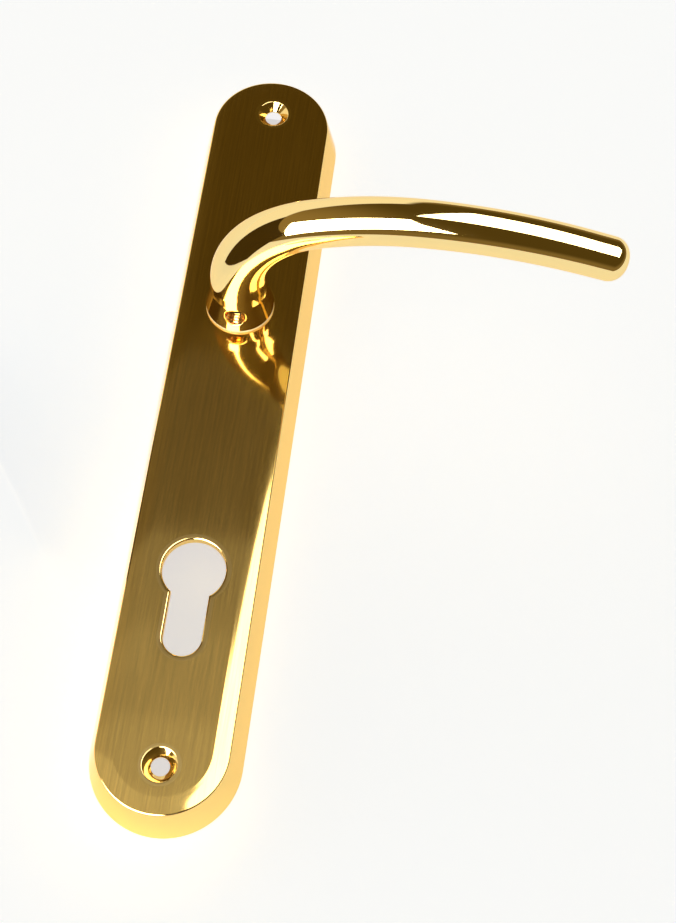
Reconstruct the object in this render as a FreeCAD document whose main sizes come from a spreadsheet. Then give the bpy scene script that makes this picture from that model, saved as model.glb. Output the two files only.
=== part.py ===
import FreeCAD, Part
import math
import os
from types import SimpleNamespace

import Sketcher

# A door lever handle on a long backplate with a euro-profile cut-out, and the spring
# cassette behind it. Millimetres. The origin is where the lever's turning axis meets the
# plane of the plate's back; +X runs along the lever, +Y up the plate, +Z out of the face.

DIMENSIONS = {
    # back plate
    "base_half_width": (20.7, "plate outline where it meets the door"),
    "edge_half_width": (17.75, "outline at the crisp edge on top of the side wall"),
    "edge_top_end": (82.7, "top end of the crisp edge"),
    "edge_low_end": (-152.9, "bottom end of the crisp edge"),
    "edge_height": (13.55, "height of the crisp edge"),
    "bevel_width": (4.6, "width of the shallow bevel inside the edge"),
    "face_height": (13.9, "height of the flat face"),
    "plate_wall": (2.0, "side wall thickness"),
    "roof_height": (11.3, "underside of the face"),
    "fixing_hole": (2.5, "radius of the fixing holes"),
    "fixing_sink": (2.2, "size of the countersink"),
    "fixing_top": (70.3, "height of the upper fixing hole"),
    "fixing_low": (-139.7, "height of the lower fixing hole"),
    "euro_centre": (-85.0, "centre of the cut-out's round part"),
    "euro_radius": (8.75, "radius of the cut-out's round part"),
    "euro_slot": (5.25, "half width of the cut-out's slot"),
    "euro_height": (33.6, "full height of the cut-out"),
    "rim_round": (0.6, "rounding of the cut-out's rim"),
    # lever
    "neck_radius": (10.0, "neck where it meets the bush"),
    "neck_flare": (9.0, "height over which the neck's foot flares out"),
    "throat_radius": (8.4, "straight part of the neck"),
    "arm_start_radius": (6.71, "arm where the first bend ends"),
    "arm_end_radius": (6.15, "arm at its free end"),
    "neck_top": (27.8, "height where the neck starts to bend"),
    "first_bend": (34.5, "radius of the bend out of the neck"),
    "second_bend": (86.5, "radius of the bend into the arm"),
    "third_bend": (159.0, "radius of the arm's gentle droop"),
    "arm_reach": (101.4, "how far the arm reaches before its rounded end"),
    "tip_round": (4.8, "rounding of the free end"),
    "spigot_radius": (8.0, "spigot behind the neck"),
    "spigot_end": (3.0, "lowest point of the spigot"),
    "spigot_flat": (6.5, "half width across the spigot's flats"),
    "socket_half": (4.0, "half width of the square spindle socket"),
    "socket_top": (35.0, "depth that the socket reaches"),
    "grub_height": (20.3, "height of the grub screw"),
    "grub_radius": (3.0, "radius of the grub screw's hole"),
    "grub_length": (2.8, "length of the grub screw"),
    "grub_bite": (0.8, "how far the grub screw's point reaches into the socket"),
    "key_radius": (1.65, "corner radius of the grub screw's key hole"),
    "key_floor": (1.1, "metal left under that key hole"),
    # bush and washers
    "flange_thickness": (1.0, "visible ring of the bush"),
    "bush_radius": (9.5, "outside of the bush's sleeve"),
    "bush_foot": (10.4, "lower end of the bush's sleeve"),
    "thrust_radius": (14.0, "outside of the thrust washer"),
    # cassette
    "cup_top": (10.3, "upper side of the cup's floor"),
    "cup_floor": (9.5, "lower side of the cup's floor"),
    "cup_radius": (15.9, "outside of the cup"),
    "cup_inside": (15.1, "inside of the cup"),
    "shaft_opening": (8.3, "openings that the spigot passes"),
    "cover_top": (3.4, "upper side of the cover"),
    "cover_low": (2.6, "lower side of the cover"),
    "drive_low": (8.05, "lower side of the drive plate"),
    "drive_radius": (11.0, "round part of the drive plate"),
    "lug_inside": (11.6, "inside of the lug that winds the spring"),
    "lug_outside": (12.8, "outside of that lug"),
    "lug_half": (1.0, "half width of that lug"),
    "lug_low": (3.8, "lowest point of that lug"),
    "ear_reach": (14.7, "reach of the ear that meets the stops"),
    "ear_half": (2.0, "half width of that ear"),
    "groove_radius": (7.2, "bottom of the retaining ring's groove"),
    "ring_low": (6.4, "lower side of the retaining ring"),
    "ring_top": (7.35, "upper side of the retaining ring"),
    "ring_outside": (9.3, "outside of the retaining ring"),
    "ring_gap": (2.0, "half width of the retaining ring's gap"),
    "washer_rise": (0.25, "how far the spring washer is coned"),
    "coil_radius": (10.6, "mean radius of the spring's coil"),
    "wire_radius": (0.65, "radius of the spring's wire"),
    "wire_bend": (2.8, "radius of the bends into the spring's legs"),
    "leg_reach": (14.6, "distance of the legs' ends from the axis"),
    "coil_low": (4.2, "lowest turn of the coil"),
    "coil_top": (7.1, "highest turn of the coil"),
    "anchor_place": (14.0, "distance of the anchor pin from the axis"),
    "anchor_radius": (0.95, "radius of the anchor pin"),
    "stop_place": (13.4, "distance of the stop pins from the axis"),
    "stop_radius": (1.2, "radius of the stop pins"),
    "stop_low": (7.65, "lower end of the stop pins"),
    "rivet_place": (13.6, "distance of the cassette's rivets from the axis"),
    "rivet_radius": (1.1, "radius of the rivets' shanks"),
    "rivet_neck": (0.8, "radius of the rivets where they pass the cover"),
    "rivet_head": (1.5, "radius of the rivets' heads"),
    "rivet_low": (2.0, "lowest point of the rivets' heads"),
    "cover_ear": (4.2, "radius of the cover's ears"),
    "screw_place": (21.0, "distance of the cover screws from the axis"),
    "screw_radius": (1.5, "radius of the cover screws' holes"),
    "screw_boss": (3.6, "radius of the bosses for the cover screws"),
    "screw_end": (9.0, "depth that the cover screws reach"),
    "head_radius": (2.8, "radius of the cover screws' heads"),
    "head_low": (0.6, "lowest point of the heads"),
    "slot_half": (0.35, "half width of the screwdriver slots"),
    "slot_depth": (0.6, "depth of the screwdriver slots"),
    "washer_low": (2.1, "lower side of the lock washers"),
}

RUNNING = 0.05           # clearance between faces that turn on each other
LOOSE = 0.1              # clearance between pieces that are put together by hand
MERGE = 0.2              # how far a solid runs into the one that it joins
PAST = 1.0               # how far a cutting tool runs past what it cuts
TOUCH = 0.01             # two lengths closer than this count as the same
LEAST_CUT = 1.0          # cubic millimetres; a cut that takes less has missed
LEVER_SWING = 45.0       # degrees that the lever turns each way
STOP_GAP = 0.8           # degrees left between the ear and a stop pin at full swing
FLARE_SHARES = (0.25, 0.5, 0.75, 1.0)   # places up the neck's flared foot
FLARE_POWER = 1.3        # how quickly that foot slims
BEND_ANGLES = (68.1, 87.7, 104.0)   # direction, from upright, where each bend ends
SECTIONS_PER_BEND = (5, 3, 4)
TIP_TURNS = (0, 30, 55, 75, 88)     # degrees round the free end where a section is drawn
WIRE_SPACING = 1.4       # distance between the sections that the spring is drawn through
UP = FreeCAD.Vector(0, 0, 1)

doc = FreeCAD.newDocument("lever_on_plate")
sheet = doc.addObject("Spreadsheet::Sheet", "sizes")
made = []


class Size:
    """A length that knows both its number and the sheet expression that drives it."""

    def __init__(self, value, text):
        """Keep the number and the expression that gives it."""
        self.value = value
        self.text = text

    def join(self, other, sign, value):
        """Add or take away another length or a bare number."""
        return Size(value, "(" + self.text + " " + sign + " " + other.text + ")")

    def __add__(self, other):
        other = as_size(other)
        return self.join(other, "+", self.value + other.value)

    def __sub__(self, other):
        other = as_size(other)
        return self.join(other, "-", self.value - other.value)

    def __mul__(self, factor):
        factor = as_size(factor)
        return self.join(factor, "*", self.value * factor.value)

    def __neg__(self):
        return Size(-self.value, "(0 - " + self.text + ")")


def as_size(number):
    """Let a plain number stand where a size is wanted."""
    if isinstance(number, Size):
        return number
    if number < 0:
        return Size(number, "(0 - " + repr(-number) + ")")
    return Size(number, repr(number))


def fill_sheet():
    """Write the driving dimensions and return them as sizes."""
    sizes = {}
    for row, (name, (value, meaning)) in enumerate(DIMENSIONS.items(), start=1):
        sheet.set("A" + str(row), str(value))
        sheet.setAlias("A" + str(row), name)
        sheet.set("B" + str(row), meaning)
        sizes[name] = Size(value, "sizes." + name)
    doc.recompute()
    return SimpleNamespace(**sizes)


d = fill_sheet()


def bind(thing, prop, size):
    """Tie a property to the sheet."""
    thing.setExpression(prop, as_size(size).text)


def keep(thing, label):
    """Name a finished piece and list it for writing."""
    thing.Label = label
    made.append(thing)
    return thing


# ---------------------------------------------------------------- Part helpers

def place(thing, x, y, z):
    """Tie a piece's position to the sheet."""
    for axis, size in (("x", x), ("y", y), ("z", z)):
        bind(thing, "Placement.Base." + axis, size)


def cylinder(radius, low, top, x=0, y=0):
    """An upright cylinder between two heights."""
    thing = doc.addObject("Part::Cylinder", "cylinder")
    bind(thing, "Radius", radius)
    bind(thing, "Height", top - low)
    place(thing, x, y, low)
    return thing


def box(x_low, x_top, y_low, y_top, z_low, z_top):
    """A block between its lowest and highest corners."""
    thing = doc.addObject("Part::Box", "block")
    for prop, low, top in (("Length", x_low, x_top), ("Width", y_low, y_top), ("Height", z_low, z_top)):
        bind(thing, prop, as_size(top) - low)
    place(thing, x_low, y_low, z_low)
    return thing


def cut(base, tool):
    """Take one solid away from another."""
    thing = doc.addObject("Part::Cut", "cut")
    thing.Base = base
    thing.Tool = tool
    return thing


def fuse(*pieces):
    """Join solids that overlap."""
    thing = doc.addObject("Part::MultiFuse", "joined")
    thing.Shapes = list(pieces)
    thing.Refine = True
    return thing


def common(base, tool):
    """Keep what two solids share."""
    thing = doc.addObject("Part::Common", "shared")
    thing.Base = base
    thing.Tool = tool
    return thing


def ring(inside, outside, low, top, x=0, y=0):
    """A flat round washer."""
    return cut(cylinder(outside, low, top, x, y), cylinder(inside, low - PAST, top + PAST, x, y))


# ---------------------------------------------------------------- PartDesign helpers

def new_body(name):
    """Start an empty body of the given name."""
    return doc.addObject("PartDesign::Body", name + "_body")


def sketch_on(body, role, name, lift=None, placement=None):
    """A sketch on one of the body's own origin planes, lifted or tilted off it."""
    sketch = body.newObject("Sketcher::SketchObject", name)
    plane = [item for item in body.Origin.OriginFeatures if item.Role == role][0]
    sketch.AttachmentSupport = [(plane, "")]
    sketch.MapMode = "FlatFace"
    if placement is not None:
        sketch.AttachmentOffset = placement
    if lift is not None:
        bind(sketch, "AttachmentOffset.Base.z", lift)
    return sketch


def constrain(sketch, kind, *where, size):
    """Add a dimension and tie it to the sheet."""
    size = as_size(size)
    index = sketch.addConstraint(Sketcher.Constraint(kind, *where, size.value))
    sketch.setExpression("Constraints[" + str(index) + "]", size.text)


def point_at(sketch, geometry, end, x, y):
    """Dimension one point of the geometry from the sketch's origin."""
    for kind, size in (("DistanceX", x), ("DistanceY", y)):
        constrain(sketch, kind, -1, 1, geometry, end, size=size)


def draw_circle(sketch, radius, x=0, y=0):
    """Draw a circle whose centre and radius follow the sheet."""
    centre = FreeCAD.Vector(as_size(x).value, as_size(y).value, 0)
    index = sketch.addGeometry(Part.Circle(centre, UP, radius.value))
    constrain(sketch, "Radius", index, size=radius)
    point_at(sketch, index, 3, x, y)


def draw_polygon(sketch, corners):
    """A closed outline of straight lines, with every corner dimensioned."""
    corners = [(as_size(x), as_size(y)) for x, y in corners]
    points = [FreeCAD.Vector(x.value, y.value, 0) for x, y in corners]
    count = len(points)
    first = sketch.GeometryCount
    for i in range(count):
        sketch.addGeometry(Part.LineSegment(points[i], points[(i + 1) % count]))
    for i in range(count):
        after = first + (i + 1) % count
        sketch.addConstraint(Sketcher.Constraint("Coincident", first + i, 2, after, 1))
    for i, (x, y) in enumerate(corners):
        point_at(sketch, first + i, 1, x, y)


def draw_rectangle(sketch, x_low, x_top, y_low, y_top):
    """Draw a rectangle whose four sides follow the sheet."""
    draw_polygon(sketch, [(x_low, y_low), (x_top, y_low), (x_top, y_top), (x_low, y_top)])


def draw_stadium(sketch, half_width, low_end, top_end):
    """A long outline with two half-round ends, standing along the sketch's Y."""
    top = top_end - half_width
    low = low_end + half_width
    half = half_width.value
    high_centre = FreeCAD.Vector(0, top.value, 0)
    low_centre = FreeCAD.Vector(0, low.value, 0)
    side = FreeCAD.Vector(half, 0, 0)
    high_arc = Part.ArcOfCircle(Part.Circle(high_centre, UP, half), 0, math.pi)
    low_arc = Part.ArcOfCircle(Part.Circle(low_centre, UP, half), math.pi, 2 * math.pi)
    sketch.addGeometry(high_arc)
    sketch.addGeometry(Part.LineSegment(high_centre - side, low_centre - side))
    sketch.addGeometry(low_arc)
    sketch.addGeometry(Part.LineSegment(low_centre + side, high_centre + side))
    for i in range(4):
        sketch.addConstraint(Sketcher.Constraint("Tangent", i, 2, (i + 1) % 4, 1))
    sketch.addConstraint(Sketcher.Constraint("Vertical", 1))
    constrain(sketch, "Radius", 0, size=half_width)
    point_at(sketch, 0, 3, 0, top)
    constrain(sketch, "DistanceY", -1, 1, 2, 3, size=low)


def pad(body, sketch, length):
    """Raise a sketch into the body by a length that follows the sheet."""
    feature = body.newObject("PartDesign::Pad", "pad")
    feature.Profile = sketch
    bind(feature, "Length", length)
    return feature


def pocket(body, sketch, length):
    """Cut along the sketch's own normal."""
    before = volume_of(body)
    feature = body.newObject("PartDesign::Pocket", "pocket")
    feature.Profile = sketch
    feature.Reversed = True
    bind(feature, "Length", length)
    if volume_of(body) > before - LEAST_CUT:
        raise RuntimeError("a pocket in " + body.Name + " cut nothing")
    return feature


def volume_of(body):
    """Give the body's volume in cubic millimetres."""
    doc.recompute()
    return body.Shape.Volume


def loft(body, kind, sketches, ruled):
    """Run a skin through sketches and add it to the body."""
    feature = body.newObject("PartDesign::" + kind, "loft")
    feature.Profile = sketches[0]
    feature.Sections = sketches[1:]
    feature.Ruled = ruled
    return feature


def turned(label, corners):
    """A piece turned about the lever's axis from an outline of (radius, height) corners."""
    body = new_body(label)
    sketch = sketch_on(body, "XZ_Plane", label + "_outline")
    draw_polygon(sketch, corners)
    feature = body.newObject("PartDesign::Revolution", label + "_turned")
    feature.Profile = sketch
    feature.ReferenceAxis = (sketch, ["V_Axis"])
    feature.Angle = 360
    return keep(body, label)


def circular_edges(shape, radius, height, centres):
    """Names of the round edges of one radius at one height about given centres."""
    names = []
    for index, edge in enumerate(shape.Edges, start=1):
        curve = edge.Curve
        if not isinstance(curve, Part.Circle):
            continue
        if abs(curve.Radius - radius) > 1e-4 or abs(curve.Center.z - height) > 1e-4:
            continue
        if any(math.hypot(curve.Center.x - x, curve.Center.y - y) < 1e-3 for x, y in centres):
            names.append("Edge" + str(index))
    return names


# ---------------------------------------------------------------- back plate

def plate_outline(body, name, inset, height):
    """The plate's outline moved in from the crisp edge, at one height."""
    sketch = sketch_on(body, "XY_Plane", name, lift=height)
    draw_stadium(sketch, d.edge_half_width - inset, d.edge_low_end + inset, d.edge_top_end - inset)
    return sketch


def make_back_plate():
    """Make the hollow plate with its holes and its two screw bosses."""
    body = new_body("back_plate")
    flare = d.base_half_width - d.edge_half_width
    slope = flare.value / d.edge_height.value

    foot = plate_outline(body, "plate_foot", -flare, as_size(0))
    edge = plate_outline(body, "plate_edge", as_size(0), d.edge_height)
    loft(body, "AdditiveLoft", [foot, edge], ruled=True)
    edge_again = plate_outline(body, "bevel_foot", as_size(0), d.edge_height)
    face = plate_outline(body, "bevel_top", d.bevel_width, d.face_height)
    loft(body, "AdditiveLoft", [edge_again, face], ruled=True)

    mouth = plate_outline(body, "hollow_mouth", d.plate_wall - flare, as_size(0))
    roof_inset = d.plate_wall - (d.edge_height - d.roof_height) * slope
    roof = plate_outline(body, "hollow_roof", roof_inset, d.roof_height)
    loft(body, "SubtractiveLoft", [mouth, roof], ruled=True)

    fixing_heights = (d.fixing_top, d.fixing_low)
    screw_heights = (d.screw_place, -d.screw_place)
    bosses = sketch_on(body, "XY_Plane", "screw_bosses", lift=d.cover_top)
    for height in screw_heights:
        draw_circle(bosses, d.screw_boss, 0, height)
    pad(body, bosses, d.roof_height - d.cover_top + MERGE)

    through = d.face_height + PAST
    neck_hole = sketch_on(body, "XY_Plane", "neck_hole")
    draw_circle(neck_hole, d.bush_radius)
    pocket(body, neck_hole, through)

    fixing_holes = sketch_on(body, "XY_Plane", "fixing_holes")
    for height in fixing_heights:
        draw_circle(fixing_holes, d.fixing_hole, 0, height)
    pocket(body, fixing_holes, through)

    screw_holes = sketch_on(body, "XY_Plane", "screw_holes")
    for height in screw_heights:
        draw_circle(screw_holes, d.screw_radius, 0, height)
    pocket(body, screw_holes, d.screw_end + MERGE)

    euro_round = sketch_on(body, "XY_Plane", "euro_round")
    draw_circle(euro_round, d.euro_radius, 0, d.euro_centre)
    pocket(body, euro_round, through)
    euro_slot = sketch_on(body, "XY_Plane", "euro_slot")
    slot_low = d.euro_centre + d.euro_radius - d.euro_height
    draw_stadium(euro_slot, d.euro_slot, slot_low, d.euro_centre)
    pocket(body, euro_slot, through)

    pierced = body.Tip
    sinks = body.newObject("PartDesign::Chamfer", "fixing_sinks")
    centres = [(0, height.value) for height in fixing_heights]
    edges = circular_edges(pierced.Shape, d.fixing_hole.value, d.face_height.value, centres)
    sinks.Base = (pierced, edges)
    bind(sinks, "Size", d.fixing_sink)
    doc.recompute()

    rim = body.newObject("PartDesign::Fillet", "euro_rim")
    rim.Base = (sinks, euro_rim_edges(sinks.Shape, slot_low))
    bind(rim, "Radius", d.rim_round)
    return keep(body, "back_plate")


def euro_rim_edges(shape, slot_low):
    """Names of the cut-out's edges on the face."""
    names = []
    for index, edge in enumerate(shape.Edges, start=1):
        limits = edge.BoundBox
        on_face = abs(limits.ZMin - d.face_height.value) < TOUCH and limits.ZLength < TOUCH
        across = max(abs(limits.XMin), abs(limits.XMax)) < d.euro_radius.value + TOUCH
        euro_top = (d.euro_centre + d.euro_radius).value
        along = slot_low.value - TOUCH < limits.YMin and limits.YMax < euro_top + TOUCH
        if on_face and across and along:
            names.append("Edge" + str(index))
    return names


# ---------------------------------------------------------------- lever

def lever_stations():
    """Places along the lever: its point, its direction from upright, its radius as a size."""
    base = d.face_height + d.flange_thickness + RUNNING
    stations = [(0.0, base.value, 0.0, d.neck_radius)]
    for share in FLARE_SHARES:
        left = round((1 - share) ** FLARE_POWER, 6)
        flared = d.neck_radius * left + d.throat_radius * (1 - left)
        stations.append((0.0, base.value + d.neck_flare.value * share, 0.0, flared))
    x = 0.0
    z = d.neck_top.value
    angle = 0.0
    stations.append((x, z, angle, d.throat_radius))
    bends = (d.first_bend, d.second_bend, d.third_bend)
    for bend, (radius, end_angle, steps) in enumerate(zip(bends, BEND_ANGLES, SECTIONS_PER_BEND)):
        for step in range(1, steps + 1):
            new = angle + (end_angle - angle) * step / steps
            new_x = x + radius.value * (math.cos(math.radians(angle)) - math.cos(math.radians(new)))
            new_z = z + radius.value * (math.sin(math.radians(new)) - math.sin(math.radians(angle)))
            stations.append((new_x, new_z, new, arm_radius(bend, step / steps, new_x)))
        x, z, angle = stations[-1][:3]
    slope = math.tan(math.radians(angle - 90))
    reach = d.arm_reach.value
    stations.append((reach, z - (reach - x) * slope, angle, d.arm_end_radius))
    return stations


def arm_radius(bend, share, x):
    """The lever's radius: it slims through the first bend, then slowly along the arm."""
    if bend == 0:
        left = (1 - share) ** 1.3
        return d.arm_start_radius * (1 - left) + d.throat_radius * left
    bend_end = d.first_bend.value * (1 - math.cos(math.radians(BEND_ANGLES[0])))
    along = (x - bend_end) / (d.arm_reach.value - bend_end)
    return d.arm_start_radius * (1 - along) + d.arm_end_radius * along


def tip_stations():
    """Places round the free end, where the lever closes in a quarter round to a small flat."""
    x, z, angle, end_radius = lever_stations()[-1]
    lean = math.radians(angle)
    stations = []
    for turn in TIP_TURNS:
        ahead = d.tip_round.value * math.sin(math.radians(turn))
        inward = d.tip_round * round(1 - math.cos(math.radians(turn)), 6)
        stations.append((x + ahead * math.sin(lean), z + ahead * math.cos(lean), angle, end_radius - inward))
    return stations


def draw_sections(body, name, stations):
    """One round section square to the lever at each station."""
    sketches = []
    for index, (x, z, angle, radius) in enumerate(stations):
        lean = FreeCAD.Rotation(FreeCAD.Vector(0, 1, 0), angle)
        spot = FreeCAD.Placement(FreeCAD.Vector(x, 0, z), lean)
        sketch = sketch_on(body, "XY_Plane", name + "_" + str(index), placement=spot)
        draw_circle(sketch, radius)
        sketches.append(sketch)
    return sketches


def make_lever():
    """Make the cast lever with its neck, spigot, spindle socket and threaded hole."""
    body = new_body("lever_handle")
    loft(body, "AdditiveLoft", draw_sections(body, "section", lever_stations()), ruled=False)
    loft(body, "AdditiveLoft", draw_sections(body, "tip", tip_stations()), ruled=False)

    base = d.face_height + d.flange_thickness + RUNNING
    spigot = sketch_on(body, "XY_Plane", "spigot", lift=d.spigot_end)
    draw_circle(spigot, d.spigot_radius)
    pad(body, spigot, base - d.spigot_end + MERGE)

    flats = sketch_on(body, "XY_Plane", "spigot_flats", lift=d.spigot_end - PAST)
    far = d.spigot_radius + PAST
    draw_rectangle(flats, d.spigot_flat, far, -far, far)
    draw_rectangle(flats, -far, -d.spigot_flat, -far, far)
    pocket(body, flats, d.cup_floor - RUNNING - d.spigot_end + PAST)

    groove = sketch_on(body, "XZ_Plane", "ring_groove")
    draw_rectangle(groove, d.groove_radius, far, d.ring_low, d.ring_top)
    before = volume_of(body)
    cutter = body.newObject("PartDesign::Groove", "ring_groove_cut")
    cutter.Profile = groove
    cutter.ReferenceAxis = (groove, ["V_Axis"])
    cutter.Angle = 360
    if volume_of(body) > before - LEAST_CUT:
        raise RuntimeError("the ring's groove cut nothing")

    socket = sketch_on(body, "XY_Plane", "spindle_socket", lift=d.spigot_end - PAST)
    draw_rectangle(socket, -d.socket_half, d.socket_half, -d.socket_half, d.socket_half)
    pocket(body, socket, d.socket_top - d.spigot_end + PAST)

    grub_hole = sketch_on(body, "XZ_Plane", "grub_hole")
    draw_circle(grub_hole, d.grub_radius, 0, d.grub_height)
    before = volume_of(body)
    drill = body.newObject("PartDesign::Pocket", "grub_hole_cut")
    drill.Profile = grub_hole
    drill.Reversed = True
    bind(drill, "Length", d.neck_radius + PAST)
    if volume_of(body) > before - LEAST_CUT:
        raise RuntimeError("the grub screw's hole cut nothing")
    return keep(body, "lever_handle")


def make_grub_screw():
    """A socket screw lying along Y, with its point just inside the spindle's socket."""
    shank = cylinder(d.grub_radius - RUNNING, as_size(0), d.grub_length)
    key_hole = doc.addObject("Part::Prism", "key_hole")
    key_hole.Polygon = 6
    bind(key_hole, "Circumradius", d.key_radius)
    bind(key_hole, "Height", d.grub_length)
    place(key_hole, 0, 0, d.key_floor)
    screw = cut(shank, key_hole)
    towards_socket = FreeCAD.Rotation(FreeCAD.Vector(1, 0, 0), 90)
    screw.Placement = FreeCAD.Placement(FreeCAD.Vector(0, 0, 0), towards_socket)
    place(screw, 0, -(d.socket_half - d.grub_bite), d.grub_height)
    return keep(screw, "grub_screw")


# ---------------------------------------------------------------- bush and washers

def make_neck_bush():
    """Make the nylon bush that lines the plate's opening round the neck."""
    bore = d.spigot_radius + RUNNING
    flange_top = d.face_height + d.flange_thickness
    return turned("neck_bush", [
        (bore, d.bush_foot), (d.bush_radius, d.bush_foot), (d.bush_radius, d.face_height),
        (d.neck_radius, d.face_height), (d.neck_radius, flange_top), (bore, flange_top)])


def make_thrust_washer():
    """Make the washer that the lever's shoulder turns against."""
    washer = ring(d.bush_radius + RUNNING, d.thrust_radius, d.cup_top, d.roof_height)
    return keep(washer, "thrust_washer")


# ---------------------------------------------------------------- spring cassette

def on_circle(distance, degrees):
    """The X and Y, as sizes, of a point at an angle on a circle about the axis."""
    angle = math.radians(degrees)
    return distance * round(math.cos(angle), 6), distance * round(math.sin(angle), 6)


def make_cassette_cup():
    """Make the cup that holds the return spring behind the plate."""
    return turned("cassette_cup", [
        (d.shaft_opening, d.cup_floor), (d.cup_inside, d.cup_floor), (d.cup_inside, d.cover_top),
        (d.cup_radius, d.cover_top), (d.cup_radius, d.cup_top), (d.shaft_opening, d.cup_top)])


def make_drive_plate():
    """A plate keyed on the spigot's flats, with a spring lug and a stop ear."""
    top = d.cup_floor - RUNNING
    disc = cylinder(d.drive_radius, d.drive_low, top)
    lug_arm = box(-d.lug_half, d.lug_half, 0, d.lug_outside, d.drive_low, top)
    lug = box(-d.lug_half, d.lug_half, d.lug_inside, d.lug_outside, d.lug_low, d.drive_low + MERGE)
    ear = box(-d.ear_half, d.ear_half, -d.ear_reach, 0, d.drive_low, top)
    far = d.spigot_radius + PAST
    key = common(cylinder(d.spigot_radius, d.drive_low - PAST, top + PAST),
                 box(-d.spigot_flat, d.spigot_flat, -far, far, d.drive_low - PAST, top + PAST))
    return keep(cut(fuse(disc, lug_arm, lug, ear), key), "drive_plate")


def make_spring_washer():
    """A conical washer that takes up end play between drive plate and retaining ring."""
    inside = d.spigot_radius + LOOSE
    outside = d.ring_outside
    return turned("spring_washer", [
        (inside, d.ring_top), (outside, d.ring_top + d.washer_rise), (outside, d.drive_low),
        (inside, d.drive_low - d.washer_rise)])


def make_retaining_ring():
    """An open ring snapped into the spigot's groove."""
    whole = ring(d.groove_radius, d.ring_outside, d.ring_low, d.ring_top)
    gap = box(-d.ring_gap, d.ring_gap, 0, d.ring_outside + PAST, d.ring_low - PAST, d.ring_top + PAST)
    return keep(cut(whole, gap), "retaining_ring")


def spring_stations():
    """The spring's centreline: a leg in, a bend, the coil, a bend and a leg out again."""
    coil = d.coil_radius.value
    bend = d.wire_bend.value
    leg_x = d.anchor_radius.value + LOOSE + d.wire_radius.value
    bend_y = math.sqrt((coil + bend) ** 2 - (leg_x + bend) ** 2)
    joint = math.degrees(math.atan2(bend_y, -leg_x - bend))
    low, top = d.coil_low.value, d.coil_top.value

    leg_end = d.leg_reach.value
    leg_steps = math.ceil((leg_end - bend_y) / WIRE_SPACING)
    lead_in = [(-leg_x, leg_end - (leg_end - bend_y) * i / leg_steps, -90) for i in range(leg_steps)]
    bend_steps = math.ceil(math.radians(180 - joint) * bend / WIRE_SPACING)
    for step in range(bend_steps + 1):
        turn = (joint - 180) * step / bend_steps
        lead_in.append((-leg_x - bend + bend * math.cos(math.radians(turn)),
                        bend_y + bend * math.sin(math.radians(turn)), turn - 90))
    stations = [(x, y, low, heading) for x, y, heading in lead_in]
    sweep = 720 - 2 * (joint - 90)
    steps = round(math.radians(sweep) * coil / WIRE_SPACING)
    for step in range(1, steps):
        angle = joint + sweep * step / steps
        stations.append((coil * math.cos(math.radians(angle)), coil * math.sin(math.radians(angle)),
                         low + (top - low) * step / steps, angle + 90))
    for x, y, heading in reversed(lead_in):
        stations.append((-x, y, top, -heading))
    return stations


def make_return_spring():
    """A torsion spring of nearly two turns whose legs straddle the lug and the anchor pin."""
    sections = []
    for x, y, z, heading in spring_stations():
        circle = Part.makeCircle(d.wire_radius.value, FreeCAD.Vector(0, 0, 0), FreeCAD.Vector(1, 0, 0))
        circle.rotate(FreeCAD.Vector(0, 0, 0), UP, heading)
        circle.translate(FreeCAD.Vector(x, y, z))
        sections.append(Part.Wire(circle))
    piece = doc.addObject("Part::Feature", "return_spring")
    piece.Shape = Part.makeLoft(sections, True, False)
    piece.Placement = FreeCAD.Placement()
    return keep(piece, "return_spring")


def make_cassette_pins():
    """Make the spring's anchor, the two stops and the two rivets."""
    keep(cylinder(d.anchor_radius, d.cover_top, d.cup_floor, 0, d.anchor_place), "anchor_pin")
    ear_angle = math.degrees(math.asin(d.ear_half.value / d.stop_place.value))
    pin_angle = math.degrees(math.asin(d.stop_radius.value / d.stop_place.value))
    spread = LEVER_SWING + ear_angle + pin_angle + STOP_GAP
    for side, angle in (("left", 270 - spread), ("right", 270 + spread)):
        x, y = on_circle(d.stop_place, angle)
        keep(cylinder(d.stop_radius, d.stop_low, d.cup_floor, x, y), "stop_pin_" + side)
    for side, sign in (("left", -1), ("right", 1)):
        x = d.rivet_place * sign
        shank = cylinder(d.rivet_radius, d.cover_top, d.cup_floor, x)
        neck = cylinder(d.rivet_neck, d.cover_low - MERGE, d.cover_top + MERGE, x)
        head = cylinder(d.rivet_head, d.rivet_low, d.cover_low, x)
        keep(fuse(shank, neck, head), "cassette_rivet_" + side)


def make_cassette_cover():
    """A round cover with two ears that the cover screws hold to the plate's bosses."""
    low, top = d.cover_low, d.cover_top
    ear = d.cover_ear
    solid = fuse(cylinder(d.cup_radius, low, top),
                 box(-ear, ear, -d.screw_place, d.screw_place, low, top),
                 cylinder(ear, low, top, 0, d.screw_place), cylinder(ear, low, top, 0, -d.screw_place))
    holes = [cylinder(d.shaft_opening, low - PAST, top + PAST)]
    for sign in (-1, 1):
        holes.append(cylinder(d.screw_radius + LOOSE, low - PAST, top + PAST, 0, d.screw_place * sign))
        holes.append(cylinder(d.rivet_neck, low - PAST, top + PAST, d.rivet_place * sign))
    return keep(cut(solid, fuse(*holes)), "cassette_cover")


def make_cover_fixings():
    """Make the two screws that hold the cassette and their lock washers."""
    for side, sign in (("upper", 1), ("lower", -1)):
        y = d.screw_place * sign
        washer = ring(d.screw_radius + LOOSE, d.head_radius, d.washer_low, d.cover_low, 0, y)
        keep(washer, "lock_washer_" + side)
        shank = cylinder(d.screw_radius - RUNNING, d.washer_low - MERGE, d.screw_end, 0, y)
        head = cylinder(d.head_radius, d.head_low, d.washer_low, 0, y)
        far = d.head_radius + PAST
        slot = box(-far, far, y - d.slot_half, y + d.slot_half, d.head_low - PAST, d.head_low + d.slot_depth)
        keep(cut(fuse(shank, head), slot), "cover_screw_" + side)


# ---------------------------------------------------------------- build, check, write

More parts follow.
